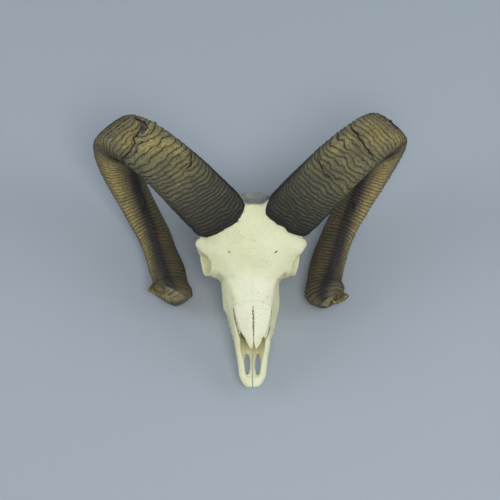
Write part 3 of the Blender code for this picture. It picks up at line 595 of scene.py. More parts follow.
def cracks_near(side, reach, around, girth, ragged, ways):
    """For each point of a horn: how deep the cracks are, how far off the nearest is, on which side, and its width."""
    depth, away, beside, open_to = (np.full(reach.shape, v) for v in (0.0, 9.0, 9.0, 0.5))
    for run, half, deep in CRACKS[side]:
        run = [(along_reach(side, t), np.interp(turn, *ways)) for t, turn in run]
        near, turned = np.full(reach.shape, 1e9), np.full(reach.shape, 9.0)
        share = np.zeros(reach.shape)
        lengths = [0.0]
        for (a, b), (c, d) in zip(run, run[1:]):
            lengths.append(lengths[-1] + math.hypot(c - a, (d - b) * 200))
        for i, ((a, b), (c, d)) in enumerate(zip(run, run[1:])):
            run_x, run_y = c - a, (d - b) * girth
            x, y = reach - a + ragged, (around - b) * girth
            t = np.clip((x * run_x + y * run_y) / (run_x**2 + run_y**2), 0, 1)
            off = np.hypot(x - t * run_x, y - t * run_y)
            closer = off < near
            turned = np.where(closer, off * np.sign(x * run_y - y * run_x), turned)
            share = np.where(closer, (lengths[i] + t * (lengths[i + 1] - lengths[i])) / lengths[-1], share)
            near = np.where(closer, off, near)
        open_here = half * np.clip(np.minimum(share, 1 - share) * 7, 0.35, 1)
        depth = np.maximum(depth, deep * bell(near, open_here * 1.6))
        closest = near < away
        away, beside = np.where(closest, near, away), np.where(closest, turned, beside)
        open_to = np.where(closest, open_here, open_to)
    return depth, away, np.clip(beside, -9, 9), open_to


def along_reach(side, t):
    """The length of a horn's middle line from its root to t."""
    places = np.linspace(0, 1, 400)
    line = horn_centre(HORNS[side], places)
    lengths = np.concatenate(([0], np.cumsum(np.linalg.norm(np.diff(line, axis=0), axis=1))))
    return np.interp(t, places, lengths)


def horn_mesh(side):
    """A horn with its growth ridges, cracks and ragged rim."""
    seed = CLOUD_SEED[side]
    shape = bmesh.new()
    bmesh.ops.create_grid(shape, x_segments=HORN_ROWS, y_segments=HORN_COLUMNS, size=1)
    mesh = closed(shape, bpy.data.meshes.new(f"horn_{side}"))
    grid = places_of(mesh)
    turns = (grid[:, 1] + 1) / 2
    row = np.rint((grid[:, 0] + 1) / 2 * HORN_ROWS).astype(int)
    column = np.rint(turns * HORN_COLUMNS).astype(int) % HORN_COLUMNS

    turn_line, way = even_turns(side, HORN_COLUMNS)
    around = np.arange(HORN_COLUMNS) / HORN_COLUMNS
    share_line = np.linspace(0, 1, HORN_ROWS + 1)
    ring_place = 31 * np.stack((np.cos(2 * np.pi * around), np.sin(2 * np.pi * around)), -1)
    starts = horn_starts(side, turn_line) - RIM_OVERLAP / ROOT_SCALE
    starts = starts + (1.9 * cloud(ring_place, 8, seed + 20) + 0.8 * cloud(ring_place, 3.4, seed + 21)) / ROOT_SCALE
    t = share_line[:, None] + starts[None, :] * (1 - share_line[:, None]) ** 4
    turn = turn_line[None, :] + 0 * t
    base = horn_points(side, t, turn)
    run = np.gradient(base, axis=0)
    ring = (np.roll(base, -1, 1) - np.roll(base, 1, 1)) / 2
    facing = unit(np.cross(run, ring) * SIDES[side] * -1)
    girth = np.linalg.norm(ring, axis=-1).sum(1, keepdims=True)
    reach = along_reach(side, share_line)[:, None] + 0 * t
    wander = np.stack((reach, 0 * t + ring_place[:, 0], 0 * t + ring_place[:, 1]), -1)
    width = along(HORNS[side]["width"], t)

    # Growth ridges, which wave as they go round, with finer lines between them.
    steps = along(RIDGE_SPACING, reach[:, 0])
    count = np.concatenate(([0], np.cumsum(np.diff(reach[:, 0]) / ((steps[1:] + steps[:-1]) / 2))))
    calm = 1 - 0.6 * fade(reach, 140, 175)
    wave = count[:, None] + calm * (RIDGE_SWAY[side] * cloud(wander, 44, seed) + 0.42 * cloud(wander, 17, seed + 1))
    wave = wave + calm * (0.34 * cloud(wander, 8, seed + 2) + 0.15 * cloud(wander, 3.8, seed + 12))
    number = np.floor(wave)
    place = wave - number
    by_ridge = np.stack((number * 3.7, ring_place[:, 0] / 16 + 0 * t, ring_place[:, 1] / 16 + 0 * t), -1)
    strength = cloud(by_ridge, 1, seed)
    ridge = (1 - np.abs(2 * place**0.8 - 1) ** 2.2) * (0.72 + 0.38 * strength)
    groove = bell(np.minimum(place, 1 - place), 0.085)
    front = bell(turn - FRONT, np.where(turn > FRONT, 0.085, 0.17))
    outer = bell(np.abs((turn - OUTER_STRIP + 0.5) % 1 - 0.5), 0.085)
    height = (0.7 + 0.85 * front + 0.8 * outer * fade(reach, 200, 300)) * np.clip(width / 60, 0.45, 1.15)
    lift = height * (1.15 * ridge - 0.7 * groove - 0.4)
    uneven = 1.3 * cloud(wander, 44, seed + 3) + 0.6 * cloud(wander, 19, seed + 4)
    lift = lift + np.clip(width / 80, 0.3, 1) * uneven
    lift = lift + 0.13 * np.sin(2 * np.pi * (3 * wave + 0.5 * cloud(wander, 6, seed + 5)))
    lift = lift + 0.22 * cloud(wander, 3.0, seed + 6) * (0.6 + 0.4 * strength)

    # The side towards the hub is a little hollow from the bend on, and the line of the hollow moves round.
    valley = bell(turn - along(HOLLOW_LINE, t), 0.062) * fade(t, 0.40, 0.52) * (1 - fade(t, 0.90, 0.95))
    lift = lift - 2.6 * valley * np.clip(width / 50, 0.3, 1)

    # A ragged, slightly proud rim.
    rim = bell(reach - reach[0], 9)
    lift = lift + rim * (0.8 + 1.3 * cloud(wander, 7, seed + 7))

    ragged = 1.0 * cloud(wander, 4, seed + 9) + 0.6 * cloud(wander, 1.8, seed + 10)
    depth, away, beside, open_to = cracks_near(
        side, reach, around + 0 * t, girth, ragged, (np.linspace(0, 1, 721), way)
    )
    lift = lift - depth
    flake = np.zeros(reach.shape)
    if side == "right":
        # The place where a flake has come off between the two great cracks, and the notch in the edge above it.
        near, edge = reach + 1.2 * ragged, turn + 0.002 * ragged
        far = along_reach(side, FLAKE_END) - 5 * fade(turn, 0.272, 0.255)
        flake = fade(near, along_reach(side, 0.2225), along_reach(side, 0.2240)) * (1 - fade(near, far - 2, far + 1))
        flake = flake * fade(edge, 0.2515, 0.2535) * (1 - fade(edge, 0.284, 0.288))
        lift = lift - FLAKE_DEPTH * flake
        lift = lift - NOTCH_DEPTH * bell(turn - 0.35, 0.05) * bell(reach - along_reach(side, FLAKE_START), 2.2)

    straw, ragged_reach = 0, reach + 3 * cloud(wander, 9, seed + 13)
    for at, long, line, half in STRAW[side]:
        straw = straw + bell(ragged_reach - at, long) * bell(turn - line, half)

    # The tip is worn blunt and splintered.
    worn = fade(reach, *(along_reach(side, t) for t in BLUNT[side]))
    facet = worn * fade(turn, 0.37, 0.43) * (1 - fade(turn, 0.91, 0.97))
    layers = np.sin(2 * np.pi * (34 * turn + 0.8 * cloud(wander, 9, seed + 8)))
    splinters = 0.6 * cloud(wander, 7, seed + 8) + 0.4 * cloud(wander, 3, seed + 11)
    lift = lift + worn * splinters + facet * 0.55 * layers

    made = base + facing * lift[..., None]
    set_places(mesh, made[row, column])
    values = {
        "reach": reach / reach[-1], "wave": wave, "ridge": np.clip(ridge - 0.5 * groove, -0.6, 1.1), "crack": away,
        "crack_side": beside, "crack_width": open_to, "front": front, "outer": outer, "valley": valley,
        "flake": flake, "facet": facet, "layers": layers, "straw": straw, "rim": rim, "strength": strength,
    }
    for name, value in values.items():
        store(mesh, name, (value + 0 * t)[row, column])
    layer = mesh.uv_layers.new(name="UVMap")
    corners = np.empty(len(mesh.loops), np.int32)
    mesh.loops.foreach_get("vertex_index", corners)
    uv = np.stack((reach[row, column] / 100, turns * 1.6), -1)
    layer.data.foreach_set("uv", uv[corners].astype(np.float32).ravel())

    shape = opened(mesh)
    bmesh.ops.remove_doubles(shape, verts=shape.verts, dist=1e-4)
    rims = [edge for edge in shape.edges if edge.is_boundary]
    point, _ = horn_root_plane(side)
    root = [edge for edge in rims if (sum((v.co for v in edge.verts), Vector()) / 2 - point).length < 75]
    tip = [edge for edge in rims if edge not in set(root)]
    close_end(shape, root, inset=(5.0, 1.0), depth=(0.0, 1.5))
    close_end(shape, tip, inset=(0.8, 1.4), depth=(-0.6, -0.6))
    bmesh.ops.recalc_face_normals(shape, faces=shape.faces)
    return closed(shape, mesh)


def close_end(shape, edges, inset, depth):
    """Closes an open end in steps, each in from the rim and deeper into the body or out of it, and then by a face."""
    for step_in, step_deep in zip(inset, depth):
        # A set has no order of its own, and the first of them set the end's direction.
        verts = list(dict.fromkeys(vert for edge in edges for vert in edge.verts))
        middle = sum((vert.co for vert in verts), Vector()) / len(verts)
        spread = sum((vert.co - middle).length for vert in verts) / len(verts)
        body = next(face for face in edges[0].link_faces)
        inward = (sum((vert.co for vert in body.verts), Vector()) / len(body.verts)
                  - sum((vert.co for vert in edges[0].verts), Vector()) / 2)
        across = (verts[0].co - middle).cross(verts[len(verts) // 3].co - middle).normalized()
        if across.dot(inward) < 0:
            across = -across
        made = bmesh.ops.extrude_edge_only(shape, edges=edges)["geom"]
        fresh = [piece for piece in made if isinstance(piece, bmesh.types.BMVert)]
        edges = [piece for piece in made if isinstance(piece, bmesh.types.BMEdge) and piece.is_boundary]
        for vert in fresh:
            vert.co = middle + (vert.co - middle) * max(0.05, 1 - step_in / spread) + across * step_deep
    bmesh.ops.contextual_create(shape, geom=edges)


# ---------------------------------------------------------------- skull


def face_section(y):
    """A ring round the muzzle and cheeks: roof, side wall, gum and palate."""
    wall, face, gum = along(WALL_TOP_HALF, y), along(FACE_HALF, y), along(GUM_HALF, y)
    level, palate = along(FACE_LEVEL, y), along(PALATE_HEIGHT, y)
    top, fall = (along(WALL_TOP, y) + 0.5, 0.5) if y < 96 else (along(ROOF_HEIGHT, y), 1.35 * NASAL_ARCH * wall)
    half = [
        (0, top), (wall * 0.6, top - 0.36 * fall), (wall, top - fall),
        (wall * 0.42 + face * 0.58 + 1.2, (top - fall) * 0.42 + level * 0.58 + 1), (face, level),
        ((face + gum) / 2, (level + along(GUM_HEIGHT, y)) / 2 - 2), (gum, along(GUM_HEIGHT, y)),
        (gum * 0.55, palate), (0, palate),
    ]
    return both_sides(half, y)


def add_face(shape):
    loft(shape, [face_section(y) for y in stations(-1, 168, 6)])


def add_nasal_roof(shape):
    """The arched plate over the nose. It runs out beyond the walls, and sinks into the face at its rear."""
    sections = []
    for y in stations(43, 122, 4):
        half, top = along(NASAL_HALF, y) + 0.5, along(ROOF_HEIGHT, y) - 3.4 * fade(y, 88, 112)
        thick = 3.2 + min(2.5, (y - 43) * 0.06)
        upper = [(half * k / 4, top - NASAL_ARCH * half * (k / 4) ** 2 * 1.6) for k in range(5)]
        lower = [(x * 0.94, z - thick) for x, z in upper[::-1]]
        sections.append(both_sides(upper + lower, y, along(NASAL_SHIFT, y)))
    loft(shape, sections)


def add_brow(shape):
    """The forehead, between the eyes and up to the poll."""
    sections = []
    for y in stations(130, 222, 7):
        top, half = along(ROOF_HEIGHT, y), along(BROW_HALF, y)
        upper = [(0, top), (half * 0.35, top - 0.3), (half * 0.68, top - 2.5), (half, top - 11)]
        lower = [(half * 0.95, top - 18), (half * 0.6, top - 34), (0, top - 46)]
        sections.append(both_sides(upper + lower, y))
    loft(shape, sections)


def add_braincase(shape):
    """The vault behind the forehead, which falls away steeply from the poll."""
    sections = []
    for y in stations(206, 264, 6):
        top, half = along(ROOF_HEIGHT, y) - 1, along(VAULT_HALF, y)
        sections.append(both_sides([
            (0, top), (half * 0.5, top - 2), (half * 0.86, top - 13), (half, 84), (half * 0.9, 64),
            (half * 0.55, 48), (0, 44),
        ], y))
    loft(shape, sections)
    ball(shape, (0, 192, 78), (26, 46, 30))
    for side in SIDES.values():
        bar(shape, to_side(side, (26, 222, 82), (40, 219, 74), (55, 212, 67)), (14, 10, 7), (16, 9, 5))
        ball(shape, (side * 33, 240, 68), (13, 13, 20))


def add_horn_stumps(shape):
    """The bony cores that stand in the horns' rims, and flare into the forehead."""
    turns = np.arange(20) / 20
    for side, mirror in SIDES.items():
        point, facing = horn_root_plane(side)
        stump = bmesh.new()
        rings = [
            [Vector(place) for place in horn_points(side, t, turns, size)]
            for t, size in ((0.16, 0.80), (0.11, 0.84), (0.06, 0.88), (0.02, 0.92), (-0.02, 0.94))
        ]
        middle = sum(rings[-1], Vector()) / len(rings[-1])
        inner = brow_point(24, -30, -44)
        inner.x *= mirror
        for share, size in ((0.22, 1.0), (0.45, 0.96), (0.7, 0.84), (0.95, 0.62)):
            rings.append([middle.lerp(inner, share) + (place - middle) * size for place in rings[4]])
        loft(stump, rings)
        cut_off(stump, point + facing * 26, facing, clear_outer=True)
        shape.from_mesh(closed(stump, bpy.data.meshes.new("stump")))


def orbit_bowl(side, layers):
    """Rings from an eye socket's rim inward or outward. Each layer has its share of the rim's size and its rise."""
    points = [brow_point(side * out, back, rise) for out, back, rise in ORBIT_RIM]
    rim = []
    for i in range(len(points)):
        before, start, end, after = (points[(i + j) % len(points)] for j in (-1, 0, 1, 2))
        rim += [spline(before, start, end, after, t) for t in (0, 0.25, 0.5, 0.75)]
    centre = sum(rim, Vector()) / len(rim)
    facing = sum(((a - centre).cross(b - centre) for a, b in zip(rim, rim[1:] + rim[:1])), Vector()).normalized()
    facing *= side * math.copysign(1, facing.x)
    return [[centre + (place - centre) * size + facing * rise for place in rim] for size, rise in layers]


def add_orbits(shape):
    """The rims of the eye sockets, with the wing of the brow behind each and the square corner in front of it."""
    for side in SIDES.values():
        rim, above = orbit_bowl(side, ((1, 0), (1, 1)))
        facing = above[0] - rim[0]
        rings = []
        for k, place in enumerate(rim):
            spoke = (rim[(k + 1) % len(rim)] - rim[k - 1]).cross(facing).normalized()
            rings.append([
                place + spoke * 2.2 * math.cos(a) + facing * 1.7 * math.sin(a)
                for a in (2 * math.pi * j / 10 for j in range(10))
            ])
        loft(shape, rings[:19])
        loft(shape, [*rings[18:], rings[0]])
        loft(shape, orbit_bowl(side, ((0.9, 0.6), (1.04, -3), (1.04, -10), (0.88, -16), (0.5, -20))))
        up = (0.25 * side, -0.42, 0.9)
        wing = to_side(side, (44, -60, -6), (59, -58.5, -8.5), (69, -55.5, -13), (76.5, -55, -18.5))
        bar(shape, [brow_point(*place) for place in wing], (17, 14, 10.5, 3.8), (8, 6.5, 4.8, 2.6), level=up)
        before = to_side(side, (50, -70, -12), (47.5, -81, -11), (49, -91, -15), (51.5, -96, -28))
        bar(shape, [brow_point(*place) for place in before], (7, 7, 7, 7), (5, 5, 6, 6), level=up)
        behind = to_side(side, (72.5, 186, 100), (73, 191, 84), (69, 190, 66))
        bar(shape, behind, (4, 3.2, 4.2), (6, 5, 7), level=(0, 1, 0.2))
        corner = to_side(side, (32, 149, 75), (45, 151, 73), (54, 153.5, 71.5), (61, 158, 69))
        bar(shape, corner, (7, 6, 5, 3.4), (15, 13, 10, 6))


def add_cheek_arches(shape):
    for side in SIDES.values():
        arch = to_side(
            side, (32, 147, 52), (45, 161, 54), (57, 166, 57), (65, 175, 59), (66.5, 194, 62), (56, 213, 66)
        )
        bar(shape, arch, (7, 6, 5.5, 4.2, 3.6, 5), (9, 9, 8.5, 7.5, 6.5, 6))
        bar(shape, to_side(side, (34, 109, 43), (35.5, 122, 46), (34.5, 142, 51)), (5, 4.5, 5), (5, 5, 6))
        ball(shape, (side * 47, 209, 60), (12, 9, 6))


def add_skull_base(shape):
    bar(shape, [(0, 266, 38), (0, 240, 40), (0, 205, 52), (0, 178, 60)], (17, 13, 10, 10), (6, 7, 7, 9))
    bar(
        shape,
        [(-31, 254, 94), (-20, 257, 100), (-11, 259, 103.6), (-3, 260, 102.2), (6, 260, 104), (14, 259, 102),
         (22, 257, 100.6), (31, 254, 94)],
        (3.4, 3.4, 3.2, 3.6, 3.2, 3.6, 3.4, 3.4), (4, 3.8, 3.8, 4.2, 3.8, 4.2, 3.8, 4), level=(0, 1, 0),
    )
    for side in SIDES.values():
        bar(shape, to_side(side, (28, 255, 100), (39, 249, 84), (43, 243, 64)), (4, 4, 5), (5, 5, 6))
        ball(shape, (side * 14.5, 266, 45), (9.5, 10, 14), Matrix.Rotation(side * 0.5, 3, "Y"))
        spur = to_side(side, (27, 252, 58), (30, 255, 32), (27, 254, -1.5))
        bar(shape, spur, (8, 5, 2.6), (9, 7, 4.5), level=(0, 1, 0))
        ball(shape, (side * 25, 234, 38), (9, 14, 12), Matrix.Rotation(side * 0.25, 3, "Z"))
        bar(shape, to_side(side, (27, 237, 52), (38, 240, 56), (46, 242, 60)), (7, 6, 5.5), (7, 6, 5.5))
        wall = to_side(side, (15, 158, 30), (13, 172, 32), (12, 187, 36), (12, 196, 46))
        bar(shape, wall, (3.5, 2.6, 2.4, 3), (10, 13, 13, 9))
        bar(shape, to_side(side, (12, 186, 34), (12.5, 190, 24)), (2.2, 2), (4, 2.2), level=(0, 1, 0))


def teeth(side):
    """A row of two-lobed grinding teeth, each a body of its own, worn flat and hollowed inside its enamel."""
    shape = bmesh.new()
    y = TOOTH_ROW_START
    for length, width in CHEEK_TEETH:
        lobes = 1 if length < 12 else 2
        for lobe in range(lobes):
            run = (length - TOOTH_GAP) / lobes
            middle = y + run * (lobe + 0.5)
            across = side * along(TOOTH_ROW_HALF, middle)
            sections = []
            for z, size in ((30, 0.72), (20, 0.9), (12, 1.0), (5, 1.0), (1.2, 0.98), (0.25, 0.93), (0.0, 0.86)):
                ring = []
                for k in range(28):
                    angle = 2 * math.pi * k / 28
                    cos, sin = math.cos(angle), math.sin(angle)
                    flute = 1 - 0.055 * (1 + math.cos(3 * angle)) * (1 if z > 0.5 else 0.6)
                    ring.append(Vector((
                        across + flute * size * width / 2 * math.copysign(abs(cos) ** 0.8, cos),
                        middle + size * (run / 2 + 0.1) * math.copysign(abs(sin) ** 0.62, sin), z,
                    )))
                sections.append(ring)
            verts = loft(shape, sections)
            end = [face for face in verts[-1].link_faces if len(face.verts) > 8]
            for inward, deeper in ((0.45, -0.35), (0.5, -0.5), (min(width, run) * 0.13, 0.35), (0.4, -0.9)):
                bmesh.ops.inset_region(shape, faces=end, thickness=inward, depth=deeper)
        y += length
    return mesh_of(shape, "teeth")


def skull_body():
    """The whole skull as one closed body, before it is opened."""
    bulk = bmesh.new()
    for add in (add_face, add_brow, add_braincase, add_horn_stumps):
        add(bulk)
    mesh = remeshed(mesh_of(bulk, "bulk"), VOXEL_BULK)
    relax(mesh, 9, push_back=0.40)
    fine = opened(mesh)
    for add in (add_nasal_roof, add_orbits, add_cheek_arches, add_skull_base):
        add(fine)
    return remeshed(mesh_of(fine, "skull"), VOXEL_FINE)


def add_openings(shape):
    """Everything that is hollow and can be looked into."""
    channel = []
    for y in stations(12, 112, 5):
        wide = max(2.5, along(WALL_TOP_HALF, y) - 5.4)
        low = along(PALATE_HEIGHT, y) + 4
        if y < 62:
            top = along(WALL_TOP, y)
            ring = [(0, top + 9), (wide + 1.6, top + 9), (wide + 0.8, top), (wide * 0.86, low + (top - low) * 0.5),
                    (wide * 0.6, low + (top - low) * 0.16), (wide * 0.3, low), (0, low)]
        else:
            high, middle = along(ROOF_HEIGHT, y) - 7, max(low + 2, along(FACE_LEVEL, y) - 2)
            slope, deep = 1 - fade(y, 62, 96), along(WALL_TOP, y) - low
            ring = [
                (0, high), (wide * 0.75, high), (wide, (high + middle) / 2),
                (wide * (1 - 0.14 * slope), middle + (low + deep * 0.5 - middle) * slope),
                (wide * (0.8 - 0.2 * slope), low + 3 + (deep * 0.16 - 3) * slope),
                (wide * (0.4 - 0.1 * slope), low), (0, low),
            ]
        channel.append(both_sides(ring, y))
    loft(shape, channel)
    bar(shape, [(0, 205, 33), (0, 186, 38), (0, 168, 38), (0, 156, 36)], (10.5, 10, 10, 9), (11, 11, 10, 8))
    bar(shape, [(0, 285, 50), (0, 268, 56), (0, 252, 64), (0, 238, 76)], (11, 10.5, 14, 17), (10, 10, 13, 16))
    for side in SIDES.values():
        loft(shape, orbit_bowl(side, (
            (0.94, 26), (0.93, 8), (0.92, 0), (0.88, -5), (0.78, -10), (0.58, -14), (0.25, -17),
        )))
        ball(shape, (side * 52, 203, 86), (12, 12, 18))
        leaf(shape, (side * 7.6, 33.5), 3.9, 17, 5, 40)
        edge = [
            (side * (along(NASAL_HALF, y) + 1.7) + along(NASAL_SHIFT, y), y,
             along(ROOF_HEIGHT, y) - 1.6 * NASAL_ARCH * along(NASAL_HALF, y) - 2)
            for y in (91, 82, 74, 66, 58)
        ]
        bar(shape, edge, (1.1, 1.7, 2.0, 2.2, 2.2), (4, 6, 6.5, 7, 7), step=2)
        bar(shape, to_side(side, (42, 72, 44), (30, 86, 46), (24, 98, 47)), (2.2, 2.6, 2), (2.8, 3, 2))
        bar(shape, to_side(side, (56, 246, 64), (38, 241, 57)), (3.2, 2.4), (3.2, 2.4))


def opened_skull():
    cutters = bmesh.new()
    add_openings(cutters)
    voids = remeshed(mesh_of(cutters, "voids"), VOXEL_FINE)
    mesh = combined(skull_body(), voids, "DIFFERENCE")
    mesh = remeshed(mesh, VOXEL_FINE)
    relax(mesh, 7)
    largest_body(mesh)
    return weathered(mesh)


def weathered(mesh):
    """Leans the cheeks and the eye sockets to the animal's right, as on the real skull, and makes the bone uneven."""
    places, facing = places_of(mesh), normals_of(mesh)
    back, height = places[:, 1], places[:, 2]
    rise = (height - POLL_HEIGHT) * math.cos(FACE_TILT) - (back - POLL_BACK) * math.sin(FACE_TILT)
    lean = fade(back, 60, 80) * (1 - fade(back, 190, 212)) * fade(height, 20, 50)
    places[:, 0] -= lean * (2.0 * fade(-rise, 2, 20) + 1.6 * fade(back, 120, 145) * fade(-rise, 20, 46))
    lift = 0.38 * cloud(places, 17, 1) + 0.22 * cloud(places, 8, 2) + 0.10 * cloud(places, 3.6, 3)
    set_places(mesh, places + facing * lift[:, None])
    return mesh


def shut_in(rough, rays=26, far=45):
    """How shut in each point of a mesh is, from 0 in the open to 1 where bone is near on every side."""
    tree = BVHTree.FromPolygons([v.co for v in rough.vertices], [tuple(p.vertices) for p in rough.polygons])
    spread = []
    for i in range(rays):
        z, angle = 1 - 2 * (i + 0.5) / rays, i * GOLDEN_ANGLE
        r = math.sqrt(1 - z * z)
        spread.append(Vector((r * math.cos(angle), r * math.sin(angle), z)))
    shut = []
    for vert in rough.vertices:
        start = vert.co + vert.normal * 0.8
        ways = [way for way in spread if way.dot(vert.normal) > 0.15]
        shut.append(sum(tree.ray_cast(start, way, far)[0] is not None for way in ways) / len(ways))
    return shut


class Survey:
    """Measures taken on the whole skull, which its bones then read, so that none of them shows a seam."""

    def __init__(self, mesh, values):
        self.values = values
        self.tree = KDTree(len(mesh.vertices))
        for i, vert in enumerate(mesh.vertices):
            self.tree.insert(vert.co, i)
        self.tree.balance()

    def at(self, places, count=3):
        read = []
        for place in places:
            found = self.tree.find_n(place, count)
            weights = [1 / (0.3 + away) for _, _, away in found]
            read.append(sum(w * self.values[i] for w, (_, i, _) in zip(weights, found)) / sum(weights))
        return read


def territory(kind, side, amount):
    """The space that one bone's share of the skull lies in, eased by an amount."""
    mirror = SIDES[side]
    shape = bmesh.new()
    if kind == "nasal":
        sections = []
        for y in stations(38, 150, 7):
            half, top, shift = along(NASAL_HALF, y) + 1.0, along(ROOF_HEIGHT, y), along(NASAL_SHIFT, y)
            fall = NASAL_ARCH * half * 1.6
            sections.append([
                Vector((shift + mirror * x, y, z))
                for x, z in ((SEAM / 2, top - 6.5), (half, top - fall - 6.5), (half, top + 20), (SEAM / 2, top + 20))
            ])
        loft(shape, sections)
    elif kind == "premaxilla":
        prism(shape, ((-10, -8), (38, -8), (82, 90), (-10, 90)), mirror * SEAM / 2, mirror * 60)
    elif kind == "maxilla":
        outline = ((20, -8), (167, -8), (164, 30), (150, 40), (139, 48), (141, 64), (126, 92), (100, 110), (60, 110))
        prism(shape, outline, mirror * SEAM / 2, mirror * 60)
    elif kind == "zygomatic":
        outline = ((138, 40), (133, 50), (140, 66), (152, 72), (176, 84), (192, 84), (207, 66), (197, 48))
        prism(shape, outline, mirror * 44, mirror * 95)
    ease(shape, amount)
    return mesh_of(shape, kind)


def midline_gaps():
    """The ragged gap between the nasal bones, which opens to a notch, and the slit between the premaxillae."""
    nose, mouth = bmesh.new(), bmesh.new()
    sections = []
    for y in stations(40, 99, 0.8):
        top = along(ROOF_HEIGHT, y)
        ragged = cloud(np.array([[y, 0.5], [y, 40.5]]), 1.5, 31)
        middle = along(NASAL_SHIFT, y) + 0.42 * ragged[0] * fade(y, 44, 52)
        half = along(NASAL_GAP, y) / 2 * (1 + 0.4 * ragged[1])
        corners = ((-half, top - 9), (half, top - 9), (half, top + 4), (-half, top + 4))
        sections.append([Vector((middle + x, y, z)) for x, z in corners])
    loft(nose, sections)
    loft(mouth, [
        [Vector((-half, y, 5)), Vector((half, y, 5)), Vector((half, y, 46)), Vector((-half, y, 46))]
        for y, half in ((-10, SLIT / 2 + 0.15), (49, 0.3))
    ])
    return mesh_of(nose, "nose"), mesh_of(mouth, "mouth")


def nerve_holes():
    """The small deep holes above the eyes, which open like funnels."""
    shape = bmesh.new()
    for side in SIDES.values():
        wide, long, turn = FORAMEN[side]
        rings = []
        for depth, size in ((8, 2.0), (1.2, 1.25), (-0.6, 0.95), (-3, 0.8), (-11, 0.6)):
            ring = []
            for k in range(14):
                a = 2 * math.pi * k / 14
                x, y = size * wide * math.cos(a), size * long * math.sin(a)
                ring.append(Vector((
                    side * 32.2 + x * math.cos(turn) - y * math.sin(turn),
                    162.3 - 0.45 * depth + x * math.sin(turn) + y * math.cos(turn), 117.2 + 0.89 * depth,
                )))
            rings.append(ring)
        loft(shape, rings)
    return mesh_of(shape, "nerve_holes")


def skull_bones():
    """Each bone's name and mesh, parted from the whole skull along the seams."""
    rest = combined(whole, nerve_holes(), "DIFFERENCE")
    for side in SIDES:
        shape = plain_horn(side, RIM_OVERLAP + 1.0)
        ease(shape, 0.3)
        rest = combined(rest, mesh_of(shape, "room"), "DIFFERENCE")
    for gap in midline_gaps():
        rest = combined(rest, gap, "DIFFERENCE")
    bones = {}
    for kind in ("nasal", "zygomatic", "premaxilla", "maxilla"):
        for side in SIDES:
            bones[f"{kind}_{side}"] = largest_body(combined(rest, territory(kind, side, -SEAM / 2), "INTERSECT"))
            rest = combined(rest, territory(kind, side, SEAM / 2), "DIFFERENCE")
    bones["cranium"] = largest_body(rest)
    return bones


# ---------------------------------------------------------------- finishes


class Finish:
    """A material being wired up."""

    def __init__(self, name):
        self.material = bpy.data.materials.new(name)
        self.material.use_nodes = True
        self.tree = self.material.node_tree
        self.surface = self.tree.nodes["Principled BSDF"]
        self.place = self.tree.nodes.new("ShaderNodeTexCoord").outputs["Object"]

    def node(self, kind, **settings):
        made = self.tree.nodes.new(kind)
        for name, value in settings.items():
            setattr(made, name, value)
        return made

    def feed(self, socket, value):
        if isinstance(value, bpy.types.NodeSocket):
            self.tree.links.new(value, socket)
        else:
            socket.default_value = value

    def read(self, name):
        """A number kept on the mesh's points."""
        return self.node("ShaderNodeAttribute", attribute_name=name).outputs["Fac"]

    def math(self, operation, *values):
        made = self.node("ShaderNodeMath", operation=operation)
        for socket, value in zip(made.inputs, values):
            self.feed(socket, value)
        return made.outputs[0]

    def times(self, first, second):
        return self.math("MULTIPLY", first, second)

    def tinted(self, colour, tone):
        """A colour made lighter or darker by a tone."""
        return self.mix(1.0, colour, tone, blend="MULTIPLY")

    def span(self, value, low, high, to_low=0.0, to_high=1.0):
        """A value's place between low and high, as a number from to_low to to_high."""
        made = self.node("ShaderNodeMapRange", interpolation_type="SMOOTHSTEP")
        for socket, given in zip(made.inputs, (value, low, high, to_low, to_high)):
            self.feed(socket, given)
        return made.outputs[0]

    def mix(self, share, first, second, blend="MIX"):
        made = self.node("ShaderNodeMix", data_type="RGBA", blend_type=blend)
        self.feed(made.inputs[0], share)
        for socket, value in ((made.inputs[6], first), (made.inputs[7], second)):
            self.feed(socket, value if isinstance(value, bpy.types.NodeSocket) else (*value, 1))
        return made.outputs[2]

    def noise(self, scale, detail=4.0, rough=0.55, where=None, stretch=None):
        made = self.node("ShaderNodeTexNoise")
        source = where or self.place
        if stretch:
            mapping = self.node("ShaderNodeMapping")
            self.feed(mapping.inputs["Vector"], source)
            self.feed(mapping.inputs["Scale"], stretch)
            source = mapping.outputs[0]
        self.feed(made.inputs["Vector"], source)
        for name, value in (("Scale", scale), ("Detail", detail), ("Roughness", rough)):
            self.feed(made.inputs[name], value)
        return made.outputs["Fac"]

    def pits(self, scale, size):
        """1 in small round pits, and 0 between them."""
        made = self.node("ShaderNodeTexVoronoi")
        self.feed(made.inputs["Vector"], self.place)
        self.feed(made.inputs["Scale"], scale)
        return self.span(made.outputs["Distance"], size, size * 0.35)

    def skin(self, colour, rough, shine):
        """What the surface shows: its colour, its roughness and how strongly it reflects."""
        for name, value in (("Base Color", colour), ("Roughness", rough), ("Specular IOR Level", shine)):
            self.feed(self.surface.inputs[name], value)

    def bump(self, *layers):
        """Relief from (height, how deep in metres) layers, one on the other."""
        normal = None
        for height, distance in layers:
            made = self.node("ShaderNodeBump")
            self.feed(made.inputs["Strength"], 1.0)
            self.feed(made.inputs["Distance"], distance)
            self.feed(made.inputs["Height"], height)
            if normal:
                self.feed(made.inputs["Normal"], normal)
            normal = made.outputs[0]
        self.feed(self.surface.inputs["Normal"], normal)


